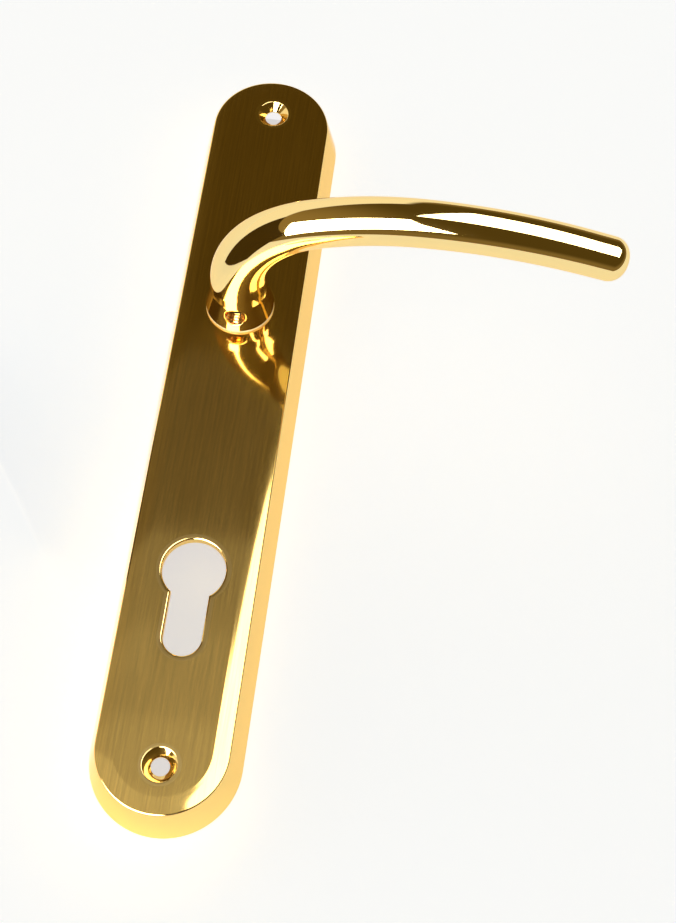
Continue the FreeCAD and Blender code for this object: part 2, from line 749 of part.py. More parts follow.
def main():
    """Make every piece and save each in a file of its own."""
    make_back_plate()
    make_lever()
    make_grub_screw()
    make_neck_bush()
    make_thrust_washer()
    make_cassette_cup()
    make_drive_plate()
    make_spring_washer()
    make_retaining_ring()
    make_return_spring()
    make_cassette_pins()
    make_cassette_cover()
    make_cover_fixings()
    doc.recompute()

    for thing in doc.Objects:
        if "Invalid" in thing.State or "Error" in thing.State:
            raise RuntimeError(thing.Name + " did not build")
    os.makedirs("parts", exist_ok=True)
    for thing in made:
        shape = thing.Shape
        if shape.isNull() or not shape.isValid() or len(shape.Solids) != 1:
            raise RuntimeError(thing.Label + " is not one sound solid")
        shape.exportStep("parts/" + thing.Label + ".step")
        print(thing.Label, round(shape.Volume, 1), "mm3")


main()
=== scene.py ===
"""The looks of a brass door lever on a long backplate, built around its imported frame.

The plate lies on its back on a pale table. Every piece is in metres in the frame's own axes: the
origin is where the lever's turning axis meets the plane of the plate's back, +X runs along the
lever, +Y up the plate and +Z out of its face.
"""

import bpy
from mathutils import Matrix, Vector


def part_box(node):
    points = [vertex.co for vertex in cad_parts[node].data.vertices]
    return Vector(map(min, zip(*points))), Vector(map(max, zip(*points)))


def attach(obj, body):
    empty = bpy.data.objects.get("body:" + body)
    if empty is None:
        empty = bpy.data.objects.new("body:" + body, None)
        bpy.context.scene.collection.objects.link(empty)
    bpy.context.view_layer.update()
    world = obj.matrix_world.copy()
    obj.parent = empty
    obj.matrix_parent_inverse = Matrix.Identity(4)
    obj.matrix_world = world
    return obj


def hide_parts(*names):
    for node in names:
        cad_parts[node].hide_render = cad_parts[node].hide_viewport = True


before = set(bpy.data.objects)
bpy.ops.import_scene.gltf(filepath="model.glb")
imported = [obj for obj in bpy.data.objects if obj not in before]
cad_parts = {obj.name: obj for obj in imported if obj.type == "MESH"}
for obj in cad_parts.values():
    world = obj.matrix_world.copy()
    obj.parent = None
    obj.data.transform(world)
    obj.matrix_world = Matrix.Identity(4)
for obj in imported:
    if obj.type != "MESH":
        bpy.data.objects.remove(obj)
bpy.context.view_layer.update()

import logging
import math
from dataclasses import dataclass, field
from enum import Enum
from typing import Callable, Optional, Sequence

import bmesh
import bpy
from mathutils import Matrix, Vector
from mathutils.geometry import tessellate_polygon

MM = 0.001
TURN = 2.0 * math.pi
UP = Vector((0.0, 0.0, 1.0))
SHARP_TURN = math.radians(38.0)
TAPER_STEP = 0.05    # half of the length over which the lever's taper is read, in millimetres
log = logging.getLogger("lever_on_plate")


# ------------------------------------------------------------------------------ colour and nodes

def linear(hex_colour: str) -> tuple[float, float, float, float]:
    """Turn an sRGB hex colour into linear values.

    Args:
        hex_colour: Six hex digits after a hash.

    Returns:
        Red, green, blue and an alpha of one.
    """
    def channel(start: int) -> float:
        """Return one channel's linear value."""
        value = int(hex_colour[start:start + 2], 16) / 255.0
        return value / 12.92 if value <= 0.04045 else ((value + 0.055) / 1.055) ** 2.4
    return channel(1), channel(3), channel(5), 1.0


def add(tree: bpy.types.NodeTree, kind: str, settings: Optional[dict] = None,
        links: Optional[dict] = None) -> bpy.types.Node:
    """Add one node with its settings and links.

    Args:
        tree: The node tree that gets the node.
        kind: The node's type, such as ShaderNodeTexNoise.
        settings: Attribute values, and socket values under the socket's name or number.
        links: For a socket's name or number, the output socket that feeds it.

    Returns:
        The new node.
    """
    node = tree.nodes.new(kind)
    for name, value in (settings or {}).items():
        if isinstance(name, str) and hasattr(node, name):
            setattr(node, name, value)
        else:
            node.inputs[name].default_value = value
    for name, source in (links or {}).items():
        tree.links.new(source, node.inputs[name])
    return node


def ramp(tree: bpy.types.NodeTree, source: bpy.types.NodeSocket,
         stops: Sequence[tuple[float, float]]) -> bpy.types.NodeSocket:
    """Pass a value through a grey ramp.

    Args:
        tree: The node tree.
        source: The value, from 0 to 1.
        stops: Places along the ramp with their grey values, in order.

    Returns:
        The ramp's output.
    """
    node = add(tree, "ShaderNodeValToRGB", {}, {"Fac": source})
    elements = node.color_ramp.elements
    while len(elements) < len(stops):
        elements.new(0.5)
    for element, (place, grey) in zip(elements, stops):
        element.position = place
        element.color = (grey, grey, grey, 1.0)
    return node.outputs["Color"]


# ------------------------------------------------------------------------------ finishes

@dataclass(frozen=True)
class Finish:
    """A named surface that builds its own node material.

    Attributes:
        name: The material's name.
    """

    name: str

    def shade(self, tree: bpy.types.NodeTree, surface: bpy.types.Node, place: bpy.types.NodeSocket) -> None:
        """Set the surface's sockets; each finish fills this in."""
        raise NotImplementedError

    def material(self) -> bpy.types.Material:
        """Return the material, made once."""
        known = bpy.data.materials.get(self.name)
        if known is not None:
            return known
        material = bpy.data.materials.new(self.name)
        material.use_nodes = True
        tree = material.node_tree
        surface = tree.nodes["Principled BSDF"]
        place = add(tree, "ShaderNodeTexCoord").outputs["Object"]
        self.shade(tree, surface, place)
        return material


def stretched(tree: bpy.types.NodeTree, place: bpy.types.NodeSocket,
              spacing_mm: tuple[float, float, float]) -> bpy.types.NodeSocket:
    """Scale the object's own coordinates so that one unit is a real spacing on each axis.

    Args:
        tree: The node tree.
        place: Object coordinates in metres.
        spacing_mm: The spacing along X, Y and Z in millimetres.

    Returns:
        The scaled coordinates.
    """
    scale = tuple(1.0 / (spacing * MM) for spacing in spacing_mm)
    return add(tree, "ShaderNodeMapping", {"Scale": scale}, {"Vector": place}).outputs["Vector"]


@dataclass(frozen=True)
class PolishedBrass(Finish):
    """Cast brass, buffed on a mop to a mirror and lacquered.

    The eye gets deep gold reflections with crisp edges, a faint ripple that the mop leaves and
    small smears in the lacquer.
    """

    colour: str = "#FCE09C"
    rim_colour: str = "#FFF0D6"
    gloss: float = 0.035
    smear: float = 0.03
    ripple_mm: float = 7.0
    ripple: float = 0.05

    def shade(self, tree: bpy.types.NodeTree, surface: bpy.types.Node, place: bpy.types.NodeSocket) -> None:
        """Set a mirror metal with faint smears and ripple."""
        surface.inputs["Base Color"].default_value = linear(self.colour)
        surface.inputs["Specular Tint"].default_value = linear(self.rim_colour)
        surface.inputs["Metallic"].default_value = 1.0
        smears = add(tree, "ShaderNodeTexNoise", {"Scale": 1.0, "Detail": 5.0, "Roughness": 0.65},
                     {"Vector": stretched(tree, place, (4.0, 4.0, 4.0))})
        patches = add(tree, "ShaderNodeMapRange",
                      {"From Min": 0.45, "From Max": 0.8, "To Min": self.gloss, "To Max": self.gloss + self.smear},
                      {"Value": smears.outputs["Fac"]})
        tree.links.new(patches.outputs["Result"], surface.inputs["Roughness"])
        waves = add(tree, "ShaderNodeTexNoise", {"Scale": 1.0, "Detail": 1.0},
                    {"Vector": stretched(tree, place, (self.ripple_mm,) * 3)})
        bump = add(tree, "ShaderNodeBump", {"Strength": self.ripple, "Distance": 0.05 * MM},
                   {"Height": waves.outputs["Fac"]})
        tree.links.new(bump.outputs["Normal"], surface.inputs["Normal"])


@dataclass(frozen=True)
class BrushedBrass(Finish):
    """Rolled brass, finely linished along its length, then buffed and lacquered.

    The eye gets a near mirror with a veil of light drawn out across the grain, and fine lines
    along the plate. Real grit lines are about 0.05 mm apart; they are drawn 0.4 mm apart so that
    they show.
    """

    colour: str = "#FAD47A"
    rim_colour: str = "#FBE6C4"
    gloss: float = 0.07
    veil: float = 0.045
    veil_gloss: float = 0.30
    veil_stretch: float = 0.93
    line_mm: float = 0.4
    line_length_mm: float = 20.0
    line_depth: float = 0.26
    mottle: float = 0.24

    def shade(self, tree: bpy.types.NodeTree, surface: bpy.types.Node, place: bpy.types.NodeSocket) -> None:
        """Set a mirror metal under a grained veil."""
        grain = add(tree, "ShaderNodeTexNoise", {"Scale": 1.0, "Detail": 4.0, "Roughness": 0.7},
                    {"Vector": stretched(tree, place, (self.line_mm, self.line_length_mm, 5.0))})
        cloud = add(tree, "ShaderNodeTexNoise", {"Scale": 1.0, "Detail": 3.0},
                    {"Vector": stretched(tree, place, (9.0, 22.0, 5.0))})
        tone = add(tree, "ShaderNodeMapRange",
                   {"From Min": 0.3, "From Max": 0.7, "To Min": 1.0 - self.mottle, "To Max": 1.0},
                   {"Value": grain.outputs["Fac"]})
        colour = add(tree, "ShaderNodeVectorMath", {"operation": "SCALE", 0: linear(self.colour)[:3]},
                     {3: tone.outputs["Result"]}).outputs["Vector"]
        bump = add(tree, "ShaderNodeBump", {"Strength": self.line_depth, "Distance": 0.02 * MM},
                   {"Height": grain.outputs["Fac"]}).outputs["Normal"]
        tree.links.new(colour, surface.inputs["Base Color"])
        surface.inputs["Specular Tint"].default_value = linear(self.rim_colour)
        surface.inputs["Metallic"].default_value = 1.0
        surface.inputs["Roughness"].default_value = self.gloss
        across = add(tree, "ShaderNodeCombineXYZ", {"X": 1.0}).outputs["Vector"]
        veil = add(tree, "ShaderNodeBsdfPrincipled",
                   {"Metallic": 1.0, "Roughness": self.veil_gloss, "Anisotropic": self.veil_stretch,
                    "Specular Tint": linear(self.rim_colour)},
                   {"Base Color": colour, "Tangent": across, "Normal": bump})
        share = add(tree, "ShaderNodeMapRange",
                    {"From Min": 0.35, "From Max": 0.7, "To Min": self.veil * 0.7, "To Max": self.veil * 1.3},
                    {"Value": cloud.outputs["Fac"]}).outputs["Result"]
        mix = add(tree, "ShaderNodeMixShader", {},
                  {0: share, 1: surface.outputs["BSDF"], 2: veil.outputs["BSDF"]})
        tree.links.new(mix.outputs["Shader"], tree.nodes["Material Output"].inputs["Surface"])


@dataclass(frozen=True)
class CastBrass(Finish):
    """Brass as it leaves the mould, on the plate's unseen side.

    The eye gets a dull, darker yellow with the mould's fine pits.
    """

    colour: str = "#B08A45"

    def shade(self, tree: bpy.types.NodeTree, surface: bpy.types.Node, place: bpy.types.NodeSocket) -> None:
        """Set a rough pitted metal."""
        surface.inputs["Metallic"].default_value = 1.0
        surface.inputs["Roughness"].default_value = 0.5
        stain = add(tree, "ShaderNodeTexNoise", {"Scale": 1.0, "Detail": 4.0},
                    {"Vector": stretched(tree, place, (9.0, 9.0, 9.0))})
        tone = add(tree, "ShaderNodeMix", {"data_type": "RGBA", 6: linear(self.colour), 7: linear("#7E5F2C")},
                   {"Factor": ramp(tree, stain.outputs["Fac"], ((0.4, 0.0), (0.75, 1.0)))})
        tree.links.new(tone.outputs[2], surface.inputs["Base Color"])
        pits = add(tree, "ShaderNodeTexNoise", {"Scale": 1.0, "Detail": 6.0},
                   {"Vector": stretched(tree, place, (0.5, 0.5, 0.5))})
        bump = add(tree, "ShaderNodeBump", {"Strength": 0.5, "Distance": 0.08 * MM},
                   {"Height": pits.outputs["Fac"]})
        tree.links.new(bump.outputs["Normal"], surface.inputs["Normal"])


@dataclass(frozen=True)
class MouldedNylon(Finish):
    """Natural nylon, injection moulded.

    The eye gets a cream plastic with a soft shine that lets a little light through its edge.
    """

    colour: str = "#D9C39A"

    def shade(self, tree: bpy.types.NodeTree, surface: bpy.types.Node, place: bpy.types.NodeSocket) -> None:
        """Set a slightly translucent plastic."""
        surface.inputs["Roughness"].default_value = 0.38
        surface.inputs["IOR"].default_value = 1.53
        surface.inputs["Subsurface Weight"].default_value = 0.25
        surface.inputs["Subsurface Radius"].default_value = (1.2 * MM, 0.9 * MM, 0.5 * MM)
        surface.inputs["Subsurface Scale"].default_value = 1.0
        cloud = add(tree, "ShaderNodeTexNoise", {"Scale": 1.0, "Detail": 3.0},
                    {"Vector": stretched(tree, place, (3.0, 3.0, 1.0))})
        tone = add(tree, "ShaderNodeMix", {"data_type": "RGBA", 6: linear(self.colour), 7: linear("#C4AB7C")},
                   {"Factor": ramp(tree, cloud.outputs["Fac"], ((0.35, 0.0), (0.75, 1.0)))})
        tree.links.new(tone.outputs[2], surface.inputs["Base Color"])


@dataclass(frozen=True)
class Steel(Finish):
    """Steel small parts: plated, turned, drawn or blackened.

    The eye gets a grey metal whose fine marks run round or along the piece.

    Attributes:
        colour: The metal's tone.
        worn: The tone of its worn or oily patches.
        gloss: Its mean roughness.
        mark_mm: The spacing of its tool marks.
    """

    colour: str = "#C9CCD0"
    worn: str = "#A9ABAE"
    gloss: float = 0.3
    mark_mm: float = 0.4

    def shade(self, tree: bpy.types.NodeTree, surface: bpy.types.Node, place: bpy.types.NodeSocket) -> None:
        """Set a grey metal with patches and tool marks."""
        surface.inputs["Metallic"].default_value = 1.0
        patch = add(tree, "ShaderNodeTexNoise", {"Scale": 1.0, "Detail": 4.0},
                    {"Vector": stretched(tree, place, (5.0, 5.0, 5.0))})
        mask = ramp(tree, patch.outputs["Fac"], ((0.4, 0.0), (0.7, 1.0)))
        tone = add(tree, "ShaderNodeMix", {"data_type": "RGBA", 6: linear(self.colour), 7: linear(self.worn)},
                   {"Factor": mask})
        tree.links.new(tone.outputs[2], surface.inputs["Base Color"])
        level = add(tree, "ShaderNodeMapRange", {"To Min": self.gloss * 0.8, "To Max": self.gloss * 1.3},
                    {"Value": mask})
        tree.links.new(level.outputs["Result"], surface.inputs["Roughness"])
        marks = add(tree, "ShaderNodeTexNoise", {"Scale": 1.0, "Detail": 3.0},
                    {"Vector": stretched(tree, place, (self.mark_mm, self.mark_mm, self.mark_mm * 6))})
        bump = add(tree, "ShaderNodeBump", {"Strength": 0.25, "Distance": 0.02 * MM},
                   {"Height": marks.outputs["Fac"]})
        tree.links.new(bump.outputs["Normal"], surface.inputs["Normal"])


@dataclass(frozen=True)
class TableSheet(Finish):
    """Opal acrylic, lit a little from below as product tables are.

    The eye gets a plain white with hardly a shadow; under the hollow plate its glow is dimmed in a box, a painted
    shade.
    """

    colour: str = "#E8E7E4"
    glow: float = 0.865
    painted_shade: float = 0.22
    painted_shade_half: tuple[float, float] = (11.0, 114.0)
    painted_shade_middle: float = -35.1

    def shade(self, tree: bpy.types.NodeTree, surface: bpy.types.Node, place: bpy.types.NodeSocket) -> None:
        """Set a plain matt white with a glow, with a painted shade: a dimmer glow in a box under the hollow plate."""
        # painted shade: a box under the plate where the glow is dimmed, standing in for the hollow's shadow
        middle = add(tree, "ShaderNodeVectorMath", {"operation": "SUBTRACT", 1: (0.0, self.painted_shade_middle * MM, 0.0)},
                     {0: place})
        apart = add(tree, "ShaderNodeSeparateXYZ", {}, {"Vector": middle.outputs["Vector"]})
        shares = []
        for axis, half in zip("XY", self.painted_shade_half):
            size = add(tree, "ShaderNodeMath", {"operation": "ABSOLUTE"}, {0: apart.outputs[axis]})
            inside = add(tree, "ShaderNodeMath", {"operation": "LESS_THAN", 1: half * MM}, {0: size.outputs[0]})
            shares.append(inside.outputs[0])
        # the painted shade's mask: one inside the box under the plate, zero outside
        under = add(tree, "ShaderNodeMath", {"operation": "MULTIPLY"}, dict(enumerate(shares)))
        strength = add(tree, "ShaderNodeMapRange", {"To Min": self.glow, "To Max": self.glow - self.painted_shade},
                       {"Value": under.outputs[0]})
        surface.inputs["Base Color"].default_value = linear(self.colour)
        surface.inputs["Emission Color"].default_value = linear("#F5FAFF")
        tree.links.new(strength.outputs["Result"], surface.inputs["Emission Strength"])
        surface.inputs["Roughness"].default_value = 0.9
        surface.inputs["Specular IOR Level"].default_value = 0.2


@dataclass(frozen=True)
class GlowingFlagCloth(Finish):
    """Black studio felt, pressed.

    The eye gets a warm near black, as the polished lever mirrors it; the felt also glows a dim warm brown, a painted
    glow that lifts that reflection.
    """

    colour: str = "#231C0E"

    def shade(self, tree: bpy.types.NodeTree, surface: bpy.types.Node, place: bpy.types.NodeSocket) -> None:
        """Set a dull black with a faint painted warm glow."""
        surface.inputs["Base Color"].default_value = linear(self.colour)
        surface.inputs["Roughness"].default_value = 1.0
        surface.inputs["Specular IOR Level"].default_value = 0.1
        # painted light: the felt glows a dim warm brown though it is no lamp, lifting its reflection in the lever
        surface.inputs["Emission Color"].default_value = linear("#3A2C0C")
        surface.inputs["Emission Strength"].default_value = 1.0


@dataclass(frozen=True)
class HoleBrass(Finish):
    """Brass cut by a tap, inside the grub screw's hole.

    The eye gets a warmer, darker gold than the polished neck's, with the tap's fine marks.
    """

    colour: str = "#E0A95C"

    def shade(self, tree: bpy.types.NodeTree, surface: bpy.types.Node, place: bpy.types.NodeSocket) -> None:
        """Set a warm cut metal with fine tap marks."""
        surface.inputs["Base Color"].default_value = linear(self.colour)
        surface.inputs["Metallic"].default_value = 1.0
        marks = add(tree, "ShaderNodeTexNoise", {"Scale": 1.0, "Detail": 3.0},
                    {"Vector": stretched(tree, place, (0.4, 0.15, 0.4))})
        level = add(tree, "ShaderNodeMapRange", {"To Min": 0.12, "To Max": 0.3},
                    {"Value": marks.outputs["Fac"]})
        tree.links.new(level.outputs["Result"], surface.inputs["Roughness"])


LEVER_BRASS = PolishedBrass("lever brass, cast, mop-polished and lacquered")
BORDER_BRASS = PolishedBrass("plate border brass, mop-polished and lacquered", colour="#FBDA8C",
                             rim_colour="#FBE6C4", gloss=0.07, smear=0.05)
FACE_BRASS = BrushedBrass("plate face brass, linished and lacquered")
BACK_BRASS = CastBrass("plate back brass, as cast")
NYLON = MouldedNylon("natural nylon, moulded")
ZINC = Steel("zinc plated steel, pressed", "#C6CACF", "#AEB2B8", 0.28, 0.5)
TURNED = Steel("bright steel, turned", "#B9BBBE", "#94969A", 0.25, 0.3)
SPRING_WIRE = Steel("spring steel, drawn and oiled", "#6E7074", "#4C4D50", 0.32, 0.25)
BLACK_STEEL = Steel("socket screw steel, blackened", "#3A3432", "#2A2624", 0.4, 0.3)
TABLE = TableSheet("opal acrylic table, cast")
GLOWING_FLAG = GlowingFlagCloth("black studio felt, painted warm glow")
HOLE_BRASS = HoleBrass("tapped hole brass, cut")


# ------------------------------------------------------------------------------ mesh building

@dataclass
class Skin:
    """A mesh built loop by loop, with the true normal of every smooth point.

    Attributes:
        points: Vertex places, in millimetres.
        normals: The surface's own normal at each vertex, or None where an edge is sharp.
        faces: Vertex numbers of each face.
        slots: The material number of each face.
    """

    points: list[Vector] = field(default_factory=list)
    normals: list[Optional[Vector]] = field(default_factory=list)
    faces: list[tuple[int, ...]] = field(default_factory=list)
    slots: list[int] = field(default_factory=list)

    def loop(self, points: Sequence[Vector], normals: Sequence[Optional[Vector]]) -> list[int]:
        """Add a ring of vertices.

        Args:
            points: Places in millimetres.
            normals: One normal, or None, for each place.

        Returns:
            The new vertex numbers.
        """
        start = len(self.points)
        self.points.extend(points)
        self.normals.extend(normals)
        return list(range(start, len(self.points)))

    def bridge(self, first: Sequence[int], second: Sequence[int], slot: int = 0) -> None:
        """Join two rings of equal length with four-sided faces."""
        count = len(first)
        for i in range(count):
            j = (i + 1) % count
            self.faces.append((first[i], first[j], second[j], second[i]))
            self.slots.append(slot)

    def chain(self, rings: Sequence[Sequence[int]], slot: int = 0) -> None:
        """Join rings one after another."""
        for first, second in zip(rings, rings[1:]):
            self.bridge(first, second, slot)

    def fill(self, outline: Sequence[int], holes: Sequence[Sequence[int]] = (), slot: int = 0) -> None:
        """Fill a flat outline that may have holes.

        Args:
            outline: The outer ring.
            holes: Rings left open inside it.
            slot: The faces' material number.
        """
        rings = [list(outline)] + [list(hole) for hole in holes]
        numbers = [number for ring in rings for number in ring]
        flat = [[Vector((self.points[n].x, self.points[n].y, 0.0)) for n in ring] for ring in rings]
        for triangle in tessellate_polygon(flat):
            self.faces.append(tuple(numbers[i] for i in triangle))
            self.slots.append(slot)

    def cap(self, ring: Sequence[int], slot: int = 0) -> None:
        """Close a ring with one face."""
        self.faces.append(tuple(ring))
        self.slots.append(slot)

    def build(self, name: str, finishes: Sequence[Finish]) -> bpy.types.Object:
        """Make the Blender object.

        Args:
            name: The piece's name.
            finishes: The finishes that the slots number.

        Returns:
            The object, in metres, with its normals set.
        """
        mesh = bpy.data.meshes.new(name)
        mesh.from_pydata([point * MM for point in self.points], [], self.faces)
        for finish in finishes:
            mesh.materials.append(finish.material())
        mesh.polygons.foreach_set("material_index", self.slots)
        make_outward(mesh)
        mesh.polygons.foreach_set("use_smooth", [True] * len(mesh.polygons))
        mesh.set_sharp_from_angle(angle=SHARP_TURN)
        mesh.update()
        self.set_normals(mesh)
        piece = bpy.data.objects.new(name, mesh)
        bpy.context.scene.collection.objects.link(piece)
        return piece

    def set_normals(self, mesh: bpy.types.Mesh) -> None:
        """Give each face corner the surface's true normal where that is known and close."""
        limit = math.cos(SHARP_TURN)
        corners = [Vector(corner.vector) for corner in mesh.corner_normals]
        for polygon in mesh.polygons:
            for index in polygon.loop_indices:
                true = self.normals[mesh.loops[index].vertex_index]
                if true is not None and true.dot(polygon.normal) > limit:
                    corners[index] = true
        mesh.normals_split_custom_set([tuple(corner) for corner in corners])


def make_outward(mesh: bpy.types.Mesh) -> None:
    """Turn every face of a closed mesh outward.

    Args:
        mesh: The mesh, changed in place.
    """
    work = bmesh.new()
    work.from_mesh(mesh)
    bmesh.ops.recalc_face_normals(work, faces=work.faces)
    work.to_mesh(mesh)
    work.free()


@dataclass(frozen=True)
class Corner:
    """One corner of a profile: its place and the radius that rounds it.

    Attributes:
        across: Place across, such as a radius or an offset, in millimetres.
        height: Place along the axis, in millimetres.
        radius: Rounding of the corner; 0 leaves it sharp.
    """

    across: float
    height: float
    radius: float = 0.0


Profile = list[tuple[Vector, Optional[Vector]]]


def rounded_profile(corners: Sequence[Corner], closed: bool, steps: int = 6) -> Profile:
    """Draw a profile with its corners rounded, and the normal at each point.

    The profile is walked with the solid on its right, so the normal is to the left.

    Args:
        corners: The corners in order.
        closed: Whether the last corner joins the first.
        steps: Points along each rounding.

    Returns:
        Two-dimensional points with normals; a sharp corner has no normal.
    """
    count = len(corners)
    places = [Vector((corner.across, corner.height)) for corner in corners]
    out: Profile = []
    for i, corner in enumerate(corners):
        inner = closed or 0 < i < count - 1
        before = (places[i] - places[i - 1]).normalized() if closed or i > 0 else None
        after = (places[(i + 1) % count] - places[i]).normalized() if closed or i < count - 1 else None
        if not inner:
            way = before or after
            out.append((places[i], Vector((-way.y, way.x))))
            continue
        turn = before.angle(after, 0.0)
        if corner.radius <= 0.0 or turn < 1e-4:
            out.append((places[i], None))
            continue
        back = corner.radius * math.tan(turn / 2.0)
        start = places[i] - before * back
        side = 1.0 if before.cross(after) > 0.0 else -1.0
        left = Vector((-before.y, before.x)) * side
        centre = start + left * corner.radius
        for step in range(steps + 1):
            angle = side * turn * step / steps
            spoke = Matrix.Rotation(angle, 2) @ (-left)
            out.append((centre + spoke * corner.radius, spoke * -side))
    return out


def lathe(name: str, corners: Sequence[Corner], finishes: Sequence[Finish], segments: int = 96,
          centre: tuple[float, float] = (0.0, 0.0), steps: int = 5) -> bpy.types.Object:
    """Turn a closed profile about an upright axis.

    Args:
        name: The piece's name.
        corners: The closed profile, with the solid on the right of the walk.
        finishes: The finishes; the first is used.
        segments: Faces round the axis.
        centre: The axis, in millimetres.
        steps: Points along each rounding.

    Returns:
        The piece.
    """
    skin = Skin()
    rings = []
    for point, normal in rounded_profile(corners, True, steps):
        places, normals = [], []
        for k in range(segments):
            angle = TURN * k / segments
            outward = Vector((math.cos(angle), math.sin(angle), 0.0))
            places.append(outward * point.x + Vector((centre[0], centre[1], point.y)))
            normals.append(None if normal is None else outward * normal.x + UP * normal.y)
        rings.append(skin.loop(places, normals))
    skin.chain(rings + [rings[0]])
    return skin.build(name, finishes)


# ------------------------------------------------------------------------------ back plate

@dataclass
class BackPlate:
    """The long hollow plate: brushed face and bevel, polished side wall, holes and bosses.

    Sizes are in millimetres. Offsets are measured outward from the crisp edge.

    Attributes:
        flare: How far the side wall's foot stands outside the crisp edge.
        edge_height: Height of the crisp edge.
        bevel: Width of the slight bevel inside that edge.
        crown: Share of the bevel's rise that lies in its outer half.
        wall: Thickness of the side wall.
        edge_round: Rounding of the crisp edge.
        inner_round: Rounding where the wall meets the roof of the hollow.
        rim_round: Rounding of the cut-out's edge.
        end_steps: Points round each end.
        side_steps: Points along each side.
        sink_radius: Radius of the fixing holes' countersinks.
        hole_radius: Radius of the fixing holes.
        fixings: Y of the fixing holes.
        bush_radius: Radius of the opening for the neck's bush.
        euro_radius: Radius of the cut-out's round part.
        euro_slot: Half width of the cut-out's slot.
        euro_centre: Y of the round part's centre.
        euro_height: Whole height of the cut-out.
        screw_place: Distance of the cassette's screws from the axis.
        boss_radius: Radius of the bosses for those screws.
        boss_low: Height of the bosses' ends.
        tap_radius: Radius of the holes in the bosses.
        tap_top: How high those holes reach.
        roof: Height of the hollow's roof.
        margin: Width of flat drawn beside a hole or an edge.
    """

    flare: float = 2.95
    edge_height: float = 13.55
    bevel: float = 4.6
    crown: float = 0.72
    wall: float = 2.0
    edge_round: float = 0.55
    inner_round: float = 1.2
    rim_round: float = 0.6
    end_steps: int = 72
    side_steps: int = 60
    sink_radius: float = 4.7
    hole_radius: float = 2.5
    fixings: tuple[float, float] = (70.3, -139.7)
    bush_radius: float = 9.5
    euro_radius: float = 8.75
    euro_slot: float = 5.25
    euro_centre: float = -85.0
    euro_height: float = 33.6
    screw_place: float = 21.0
    boss_radius: float = 3.6
    boss_low: float = 3.4
    tap_radius: float = 1.5
    tap_top: float = 9.5
    roof: float = 11.3
    margin: float = 1.0

    def __post_init__(self) -> None:
        """Read the plate's outer sizes from the frame."""
        low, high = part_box("back_plate")
        self.half_width = high.x / MM - self.flare
        self.top_end = high.y / MM - self.flare
        self.low_end = low.y / MM + self.flare
        self.face = high.z / MM

    def outline(self, offset: float, height: float, normal: Optional[Vector],
                ) -> tuple[list[Vector], list[Optional[Vector]]]:
        """Walk the plate's outline, moved out by an offset.

        Args:
            offset: How far outside the crisp edge, in millimetres.
            height: The outline's height.
            normal: The profile's normal: outward, then up; or None.

        Returns:
            The places and their normals.
        """
        half = self.half_width + offset
        top = self.top_end - self.half_width
        low = self.low_end + self.half_width
        stops: list[tuple[Vector, Vector]] = []
        for k in range(self.end_steps):
            angle = math.pi * k / self.end_steps
            out = Vector((math.cos(angle), math.sin(angle), 0.0))
            stops.append((Vector((0.0, top, 0.0)) + out * half, out))
        for k in range(self.side_steps):
            y = top + (low - top) * k / self.side_steps
            stops.append((Vector((-half, y, 0.0)), Vector((-1.0, 0.0, 0.0))))
        for k in range(self.end_steps):
            angle = math.pi + math.pi * k / self.end_steps
            out = Vector((math.cos(angle), math.sin(angle), 0.0))
            stops.append((Vector((0.0, low, 0.0)) + out * half, out))
        for k in range(self.side_steps):
            y = low + (top - low) * k / self.side_steps
            stops.append((Vector((half, y, 0.0)), Vector((1.0, 0.0, 0.0))))
        places = [place + UP * height for place, _ in stops]
        if normal is None:
            return places, [None] * len(places)
        return places, [(out * normal.x + UP * normal.y).normalized() for _, out in stops]

    def hole(self, radius: float, height: float, normal: Optional[Vector], y: float,
             steps: int = 64) -> tuple[list[Vector], list[Optional[Vector]]]:
        """Walk a round hole, with the profile's normal given away from the hole's axis, then up."""
        places, normals = [], []
        for k in range(steps):
            angle = TURN * k / steps
            out = Vector((math.cos(angle), math.sin(angle), 0.0))
            places.append(Vector((0.0, y, height)) + out * radius)
            normals.append(None if normal is None else (out * normal.x + UP * normal.y).normalized())
        return places, normals

    def euro(self, grow: float, height: float, normal: Optional[Vector],
             ) -> tuple[list[Vector], list[Optional[Vector]]]:
        """Walk the cut-out's outline, grown by an offset into the metal.

        Args:
            grow: How far the outline is moved into the metal.
            height: Its height.
            normal: The profile's normal: away from the hole, then up; or None.

        Returns:
            The places and their normals.
        """
        radius = self.euro_radius + grow
        slot = self.euro_slot + grow
        slot_centre = self.euro_centre + self.euro_radius - self.euro_height + self.euro_slot
        meet = math.asin(slot / radius)
        stops: list[tuple[Vector, Vector]] = []
        for k in range(97):
            angle = -math.pi / 2 + meet + (TURN - 2 * meet) * k / 96
            out = Vector((math.cos(angle), math.sin(angle), 0.0))
            stops.append((Vector((0.0, self.euro_centre, 0.0)) + out * radius, out))
        corner_y = self.euro_centre - radius * math.cos(meet)
        for k in range(1, 12):
            y = corner_y + (slot_centre - corner_y) * k / 12
            stops.append((Vector((-slot, y, 0.0)), Vector((-1.0, 0.0, 0.0))))
        for k in range(41):
            angle = math.pi + math.pi * k / 40
            out = Vector((math.cos(angle), math.sin(angle), 0.0))
            stops.append((Vector((0.0, slot_centre, 0.0)) + out * slot, out))
        for k in range(1, 12):
            y = slot_centre + (corner_y - slot_centre) * k / 12
            stops.append((Vector((slot, y, 0.0)), Vector((1.0, 0.0, 0.0))))
        places = [place + UP * height for place, _ in stops]
        if normal is None:
            return places, [None] * len(places)
        return places, [(out * normal.x + UP * normal.y).normalized() for _, out in stops]

    def mesh(self) -> Skin:
        """Build the whole plate as one closed skin."""
        skin = Skin()
        face_slot, border_slot, back_slot = 0, 1, 2
        lean = self.flare / self.edge_height

